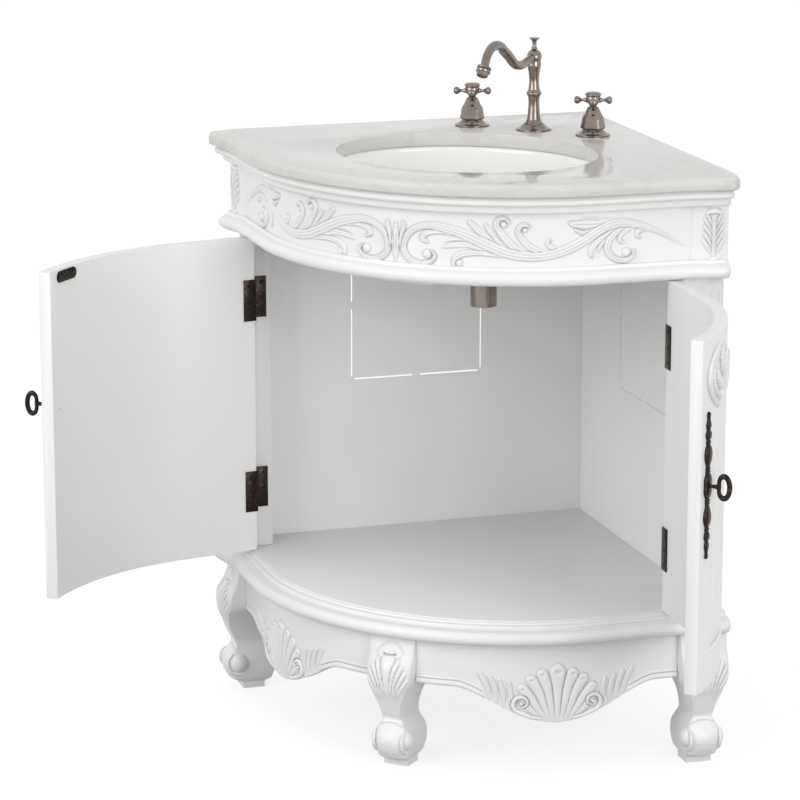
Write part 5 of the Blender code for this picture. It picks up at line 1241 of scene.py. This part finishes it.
fit(swan_neck(), nickel, "cabinet", "spout_tube", smooth_deg=60)
mouth = [(0, -0.0002), (0.0066, -0.0003)]
mouth += [(AERATOR_RADIUS * share, -AERATOR_LENGTH * height) for height, share in AERATOR_ROWS]
aerator = turned("flared_aerator", mouth, steps=48)
(before_y, before_z), (mouth_y, mouth_z) = TUBE_POINTS[-2:]
aerator.rotation_euler = (-math.atan2(mouth_y - before_y, before_z - mouth_z), 0, 0)
aerator.location = (0, SPOUT_Y - mouth_y, COUNTER_HIGH + mouth_z)
fit(aerator, nickel, "cabinet", "spout_aerator", smooth_deg=35)

# Faucet handles: each valve stands on a rose, under a six-sided bell and a cross with four ball-ended
# arms and a domed button. The cross is cast in one piece and turns on the valve's stem.
BELL_ROWS = [(1.00, 0.44), (0.92, 0.50), (0.86, 0.55), (0.72, 0.64), (0.58, 0.80), (0.48, 0.87), (0.30, 0.91),
             (0.16, 0.97), (0.06, 1.00), (0.00, 0.95)]
HUB_ROWS = [(1.00, 0.00), (0.99, 0.60), (0.95, 1.15), (0.88, 1.40), (0.80, 1.45), (0.74, 1.36), (0.70, 1.24),
            (0.64, 1.30), (0.46, 1.34), (0.32, 1.20), (0.20, 0.90), (0.12, 0.70), (0.05, 0.62), (0.00, 0.72)]
ARM_ROWS = [(1.00, 0.00), (0.985, 0.45), (0.94, 0.80), (0.86, 1.03), (0.78, 0.98), (0.70, 0.72), (0.62, 0.46),
            (0.55, 0.38), (0.48, 0.46), (0.40, 0.66), (0.10, 0.74)]
HANDLE_TURN = math.radians(24)
HANDLE_ROSE_RADIUS = 0.0262
BELL_RADIUS = 0.0190
BELL_HEIGHT = 0.0330
BELL_BORE = 0.0079
BELL_EASING = 0.0011
HUB_RADIUS = 0.0085
HUB_HEIGHT = 0.0230
ARM_RADIUS = 0.0057
ARM_LENGTH = 0.0290
ARM_START = 0.0029
ARM_LEVEL = 0.45


def cast_cross(name):
    """A waisted hub with four arms cast on, each a copy of one arm."""
    hub = [(HUB_RADIUS * share, HUB_HEIGHT * height) for height, share in HUB_ROWS] + [(0, 0)]
    parts = [turned(name, hub, steps=40)]
    arm = [(0, ARM_LENGTH)]
    arm += [(ARM_RADIUS * share, ARM_LENGTH * height) for share, height in smooth_profile(ARM_ROWS, 26)[1:]]
    arm = turned(name + "_arm", arm + [(0, ARM_START)], steps=24)
    for turn in range(4):
        copy = copied(arm, f"{name}_arm_{turn}")
        copy.rotation_euler = (math.pi / 2, 0, turn * math.pi / 2)
        copy.location = (0, 0, HUB_HEIGHT * ARM_LEVEL)
        parts.append(copy)
    bpy.data.objects.remove(arm)
    return joined(name, *parts)


for side_name, side in SIDES.items():
    place = (side * HANDLE_X, HANDLE_Y, 0)
    fit(rose(f"{side_name}_rose", HANDLE_ROSE_RADIUS, place), nickel, "cabinet",
        f"{side_name}_handle_escutcheon", smooth_deg=28)
    low = ROSE_HIGH + SEAT_GAP
    high = low + BELL_HEIGHT
    outline = [(BELL_RADIUS * share, low + BELL_HEIGHT * height)
               for share, height in smooth_profile(BELL_ROWS, 16)]
    bell = turned(f"{side_name}_bell", outline + [(BELL_BORE, low), (BELL_BORE, high)], steps=6, bored=True)
    round_edges(bell, BELL_EASING, 2, 40)
    bell.rotation_euler = (0, 0, HANDLE_TURN)
    bell.location = place
    fit(bell, nickel, "cabinet", f"{side_name}_handle_bell", smooth_deg=25)
    cross = cast_cross(f"{side_name}_cross_handle")
    cross.location = (*place[:2], high + SEAT_GAP)
    cross.rotation_euler = (0, 0, HANDLE_TURN)
    fit(cross, nickel, f"{side_name}_cross", f"{side_name}_handle_cross", smooth_deg=40)

# Valve shanks and lock nuts: threaded brass below the marble, seen only from underneath, so the solids
# stay and take the brass finish with its thread.
for node in ("left_valve_shank", "right_valve_shank", "left_lock_nut", "right_lock_nut", "spout_lock_nut"):
    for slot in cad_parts[node].material_slots:
        slot.material = brass.material

# Door catch: a small block with a magnet for each door's strike plate. It is screwed on behind the frieze
# and painted with it.
fit(eased("door_catch", "painted_door_catch", width=0.0006), paint, "cabinet", "door_catch")

# Doors: two bowed slabs of painted board. The inside is plain. The outside has a raised panel with an
# arched head, sunk round with a moulded groove, and carved leaves in the corner above the arch.
DOOR_REACH = 0.565
DOOR_THICKNESS = 0.0185
DOOR_LOW = 0.2360
DOOR_HIGH = 0.7260
DOOR_START = 0.00075
DOOR_END = 0.415595
PANEL_LEFT = 0.05275
PANEL_RIGHT = 0.363595
PANEL_LOW = 0.288
PANEL_SPRING = 0.624
PANEL_ARCH = 0.050
# How far in from the panel's outline, and how high the face stands there, in millimetres
PANEL_PROFILE = [(-5.0, 0.0), (-3.6, 0.8), (-1.8, 0.9), (-0.2, 0.2), (1.2, -2.2), (2.4, -3.0), (4.0, -2.9),
                 (9.0, -1.3), (10.2, -0.9), (11.2, -0.1), (12.2, 0.0)]
CORNER_MIDDLE = (85.0, 669.0)
CORNER_LEAVES = [
    [(4, -42, 2.0, 1.2), (-22, -40, 4.0, 2.8), (-46, -26, 5.0, 3.8), (-62, -4, 5.0, 4.2), (-58, 18, 4.6, 4.2),
     (-42, 32, 4.2, 4.0), (-26, 40, 3.0, 3.4), (-10, 42, 1.6, 2.6)],
    [(0, -34, 1.6, 1.2), (-22, -28, 3.0, 2.8), (-40, -14, 3.6, 3.4), (-46, 4, 3.4, 3.6), (-38, 18, 2.8, 3.8),
     (-28, 16, 2.2, 3.6)],
    [(4, -24, 1.6, 1.2), (-12, -20, 3.2, 3.0), (-26, -6, 3.8, 3.8), (-28, 6, 2.4, 3.4)],
    [(6, -8, 1.6, 1.4), (-6, 4, 3.6, 3.8), (-10, 18, 4.0, 4.4), (-4, 30, 2.8, 4.0), (8, 36, 1.6, 3.0)],
    [(14, -14, 1.6, 1.4), (12, 2, 3.8, 4.2), (16, 16, 3.8, 4.6), (26, 24, 2.6, 4.0)],
    [(8, -36, 1.6, 1.2), (26, -30, 3.6, 3.0), (44, -16, 4.4, 3.8), (56, 2, 4.0, 4.4), (54, 16, 2.8, 4.0)],
    [(16, -26, 1.6, 1.2), (30, -14, 3.4, 3.4), (38, 2, 3.6, 4.2), (36, 16, 2.4, 3.8)],
]
PIN_X = 0.35497
PIN_Y = -0.40517
# By side, -1 for left and 1 for right
DOOR_TURNS = {-1: -math.radians(80.1), 1: math.radians(88.4)}
PULL_SCREW_ACROSS = 0.0245
PULL_SCREW_HEIGHT = 0.519
PULL_SCREW_RADIUS = 0.0021
PULL_SCREW_BORE = (-0.004, 0.006)
DOOR_EASING = 0.0009


def swung(side):
    """The turn about a door's pins that takes a closed door to where it stands open."""
    pin = Vector((side * PIN_X, PIN_Y, 0))
    return Matrix.Translation(pin) @ Matrix.Rotation(DOOR_TURNS[side], 4, "Z") @ Matrix.Translation(-pin)


def standing(place, out):
    """A frame at a place, with its z axis pointing out of a surface and its x axis up."""
    up = Vector((0, 0, 1))
    rows = Matrix((up, out.cross(up), out)).transposed()
    return Matrix.Translation(place) @ rows.to_4x4()


def standing_on_door(side, across, out, up, outward):
    """The same on a closed door, facing away from it on its outside or its inside."""
    place, beyond = on_bow(side, DOOR_REACH, np.full(2, across), np.array([out, out + 0.1 * outward]), up)
    return standing(Vector(place), Vector(beyond - place).normalized())


def panel_rise(across, up):
    """How far a door's face stands out for its raised panel, in millimetres."""
    middle = (PANEL_LEFT + PANEL_RIGHT) / 2
    half = (PANEL_RIGHT - PANEL_LEFT) / 2
    radius = (half**2 + PANEL_ARCH**2) / (2 * PANEL_ARCH)
    under_arch = radius - np.hypot(across - middle, up - (PANEL_SPRING + PANEL_ARCH - radius))
    inside = np.minimum.reduce([across - PANEL_LEFT, PANEL_RIGHT - across, up - PANEL_LOW, under_arch])
    depths, levels = zip(*PANEL_PROFILE)
    return np.interp(inside * 1000, depths, levels)


def make_door(name, side):
    """A door as it stands open, with its panel, carving and the hole for the pull's screw."""
    columns = np.linspace(DOOR_START, DOOR_END, 261)
    # The rows lie close together where the face is moulded or carved
    rows = np.concatenate([
        np.linspace(DOOR_LOW, 0.274, 9), np.linspace(0.276, 0.306, 26), np.linspace(0.312, 0.580, 34),
        np.linspace(0.584, 0.7150, 101), np.linspace(0.7185, DOOR_HIGH, 3),
    ])
    across, up = np.meshgrid(columns, rows)
    face = Carving(across * 1000 - CORNER_MIDDLE[0], up * 1000 - CORNER_MIDDLE[1])
    for leaf in CORNER_LEAVES:
        face.stroke(leaf, strands=2, moat=0.9, keep=0.3)
    face.knob(-34, 14, 4.0, 4.6, ring=0.5)
    face.rise = np.where(face.rise > 0, face.rise + 0.4, panel_rise(across, up))
    front = on_bow(side, DOOR_REACH, across, face.rise / 1000, up)
    back = on_bow(side, DOOR_REACH, across, -DOOR_THICKNESS + 0 * up, up)
    door = carved_board(name, front, back, face.painted_shade_depths())
    round_edges(door, DOOR_EASING, 2, 75)
    drill = cutter(PULL_SCREW_RADIUS, PULL_SCREW_RADIUS, (0, 0), *PULL_SCREW_BORE, 20)
    drill.matrix_world = standing_on_door(side, PULL_SCREW_ACROSS, -DOOR_THICKNESS, PULL_SCREW_HEIGHT, -1)
    fix_place(drill)
    cut_out(door, drill)
    door.matrix_world = swung(side)
    return door


for side_name, side in SIDES.items():
    node = f"{side_name}_door"
    fit(make_door("painted_" + node, side), paint, node, node)

# Hinges: four pressed steel butt hinges in dark bronze. One leaf is let into the post, the other wraps the
# door's edge, each held by three cross-headed screws, with five knuckles rolled round a tipped pin.
HINGE_MIDDLES = {"upper": 0.630, "lower": 0.330}
HINGE_SCREWS = (0.0225, -0.0010, -0.0225)
HINGE_SCREW_RADIUS = 0.0031
LEAF_EASING = 0.0003
SCREW_HIGH = 0.0009
SLOT_WIDTH = 0.0006
SLOT_HEIGHT = 0.0010
SLOT_TURN = 0.3
# How far along a back plane the screws stand, and off it
JAMB_SCREWS = (0.5500, 0.0648)
DOOR_SCREWS = (0.5447, 0.0790)

bronze = Finish("dark_bronze", metallic=0.85)
worn = bronze.window(bronze.noise(210.0, 5.0), 0.56, 0.70)
bronze.set("Base Color", bronze.blend((worn * 0.40).held(), (0.022, 0.017, 0.015), (0.20, 0.105, 0.070)))
bronze.set("Roughness", 0.18 + 0.24 * bronze.noise(90.0, 3.0))
bronze.relief(bronze.noise(700.0, 3.0), 0.0001, 0.5)


def cross_screw(radius):
    """A low domed screw head with a cross-shaped recess, standing on its own foot."""
    dome = [(0, SCREW_HIGH), (radius * 0.45, 0.00085), (radius * 0.80, 0.0005), (radius, 0), (0, 0)]
    head = turned("screw_head", dome, steps=28)
    for turn in (SLOT_TURN, SLOT_TURN + math.pi / 2):
        bpy.ops.object.select_all(action="DESELECT")
        bpy.ops.mesh.primitive_cube_add(size=1, location=(0, 0, SCREW_HIGH), rotation=(0, 0, turn),
                                        scale=(radius * 1.1, SLOT_WIDTH, SLOT_HEIGHT))
        cut_out(head, bpy.context.object)
    return head


def screwed(piece, radius, frames):
    """A plate with a screw head at each frame, all of them copies of one head."""
    first = cross_screw(radius)
    heads = []
    for index, place in enumerate(frames):
        head = copied(first, f"{piece.name}_screw_{index}")
        head.matrix_world = place
        heads.append(head)
    bpy.data.objects.remove(first)
    return joined(piece.name, piece, *heads)


def knuckles(name, place):
    """The rolled barrel, with a fine gap between knuckles, and a round tip at each end."""
    tip = [(0, 0.036), (0.0017, 0.0356), (0.0025, 0.0346), (0.0026, 0.0334), (0.0020, 0.0324),
           (0.0031, 0.0320)]
    rows = []
    for joint in (0.0192, 0.0064, -0.0064, -0.0192):
        rows += [(0.0034, joint + 0.0126), (0.0034, joint + 0.0005), (0.0027, joint + 0.0002),
                 (0.0027, joint - 0.0002)]
    rows += [(0.0034, -0.0197), (0.0034, -0.0317)]
    foot = [(radius, -height) for radius, height in reversed(tip)]
    return turned(name, tip + rows + foot, place, 32)


def hinge_leaf(node, places, body):
    """One pressed leaf with its three screws."""
    plate = screwed(eased(node, node.replace("leaf", "plate"), LEAF_EASING), HINGE_SCREW_RADIUS, places)
    fit(plate, bronze, body, node, smooth_deg=35)


for side_name, side in SIDES.items():
    inward = Vector((-side, 1, 0)).normalized()
    from_wall = Vector((-side, -1, 0)).normalized()
    for level, middle in HINGE_MIDDLES.items():
        name = f"{side_name}_{level}_hinge"
        fit(knuckles(name + "_barrel", (side * PIN_X, PIN_Y, middle)), bronze, "cabinet", name + "_pin",
            smooth_deg=35)
        heights = [middle + screw for screw in HINGE_SCREWS]
        jamb = [standing(Vector(off_wall(side, *JAMB_SCREWS, z)), from_wall) for z in heights]
        hinge_leaf(name + "_jamb_leaf", jamb, "cabinet")
        door = [swung(side) @ standing(Vector(off_wall(side, *DOOR_SCREWS, z)), inward) for z in heights]
        hinge_leaf(name + "_door_leaf", door, f"{side_name}_door")

# Strike plates: a pill-shaped plate on the back of each door at the top, where the catch meets it, held by
# two screws.
STRIKE_SCREWS = (0.0330, 0.0710)
STRIKE_HEIGHT = 0.7145
STRIKE_FACE = -0.0203
STRIKE_SCREW_RADIUS = 0.0030

for side_name, side in SIDES.items():
    screws = [swung(side) @ standing_on_door(side, across, STRIKE_FACE, STRIKE_HEIGHT, -1)
              for across in STRIKE_SCREWS]
    node = f"{side_name}_strike_plate"
    strike = eased(node, f"{side_name}_strike", width=0.0004)
    fit(screwed(strike, STRIKE_SCREW_RADIUS, screws), bronze, f"{side_name}_door", node, smooth_deg=35)

# Pulls: a long cast back plate of turned shapes cut in half, beaded and tapered to both ends, with a bow
# like a key's on a short stem. Both are cast bronze, oiled dark, with copper showing where it is rubbed.
PULL_ACROSS = 0.0215
PULL_HEIGHT = 0.525
PLATE_HALF_LENGTH = 0.1015
PLATE_HALF_WIDTH = 0.0110
PLATE_RISE = 0.0058
PLATE_SEAT = 0.0004
BOW_MIDDLE = 0.0246
BOW_HALF_LONG = 0.0083
BOW_HALF_WIDE = 0.0152
BOW_THICK = 0.0035
BOW_THICKER = 0.0004
BOW_NOTCH = 0.0016
# Radius, and how far it stands out of the plate, from the bow down
STEM_ROWS = [
    (0, 0.0172), (0.0022, 0.0170), (0.0033, 0.0160), (0.0036, 0.0146), (0.0030, 0.0132), (0.0023, 0.0126),
    (0.0031, 0.0116), (0.0031, 0.0106), (0.0023, 0.0098), (0.0026, 0.0080), (0.0036, 0.0062),
    (0.0042, 0.0050), (0.0042, 0.0041), (0, 0.0041),
]
# Share of the half length, and of the half width
PLATE_ROWS = [
    (0.00, 0.96), (0.08, 0.98), (0.15, 0.66), (0.175, 0.44), (0.195, 0.60), (0.215, 0.44), (0.235, 0.60),
    (0.255, 0.44), (0.285, 0.52), (0.36, 0.86), (0.44, 0.98), (0.52, 0.72), (0.565, 0.42), (0.59, 0.58),
    (0.615, 0.42), (0.66, 0.66), (0.71, 0.70), (0.755, 0.40), (0.79, 0.52), (0.83, 0.58), (0.875, 0.40),
    (0.915, 0.30), (0.95, 0.40), (0.985, 0.34), (1.00, 0.10),
]


def cast_plate(name, side):
    """The back plate: half rings along its length, closed behind where it lies on the door."""
    shares = np.linspace(-1, 1, 241)
    widths = PLATE_HALF_WIDTH * np.clip(settle(np.abs(shares), PLATE_ROWS)[:, 0], 0.08, 1)
    turn = np.linspace(0, math.pi, 15)
    rings = []
    for share, width in zip(shares, widths):
        lean = width / PLATE_HALF_WIDTH
        fluted = 1 + 0.07 * np.cos(6 * turn) * (lean > 0.5)
        across = PULL_ACROSS + width * np.cos(turn)
        out = PLATE_SEAT + PLATE_RISE * (0.35 + 0.65 * lean) * np.sin(turn) * fluted
        height = PULL_HEIGHT + PLATE_HALF_LENGTH * share
        curve = on_bow(side, DOOR_REACH, across, out, height)
        flat = on_bow(side, DOOR_REACH, across[::-1][1:-1], PLATE_SEAT + 0 * across[1:-1], height)
        rings.append(np.concatenate([curve, flat]))
    return ringed(name, rings)


def cast_bow(name):
    """The key bow: an oval ring, thicker at its end, on a collared stem that stands on the plate."""
    around = np.linspace(0, 2 * math.pi, 14, endpoint=False)
    rings = []
    for turn in np.linspace(0, 2 * math.pi, 49):
        thick = BOW_THICK + BOW_THICKER * math.cos(turn)
        reach_out = BOW_HALF_LONG + thick * 0.95 * np.cos(around)
        reach_up = BOW_HALF_WIDE + thick * 1.12 * np.cos(around)
        notch = BOW_NOTCH * max(0, -math.cos(turn)) ** 8
        out = BOW_MIDDLE + reach_out * math.cos(turn) + notch
        rings.append(np.stack([reach_up * math.sin(turn), thick * 0.92 * np.sin(around), out], axis=-1))
    hoop = ringed(name, rings, capped=False)
    return joined(name, hoop, turned(name + "_stem", STEM_ROWS, steps=32))


for side_name, side in SIDES.items():
    plate = cast_plate(f"{side_name}_pull_casting", side)
    plate.matrix_world = swung(side)
    fit(plate, bronze, f"{side_name}_door", f"{side_name}_pull_plate", smooth_deg=50)
    bow = cast_bow(f"{side_name}_key_bow")
    bow.matrix_world = swung(side) @ standing_on_door(side, PULL_ACROSS, 0.0, PULL_HEIGHT, 1)
    fit(bow, bronze, f"{side_name}_door", f"{side_name}_pull_bow", smooth_deg=60)
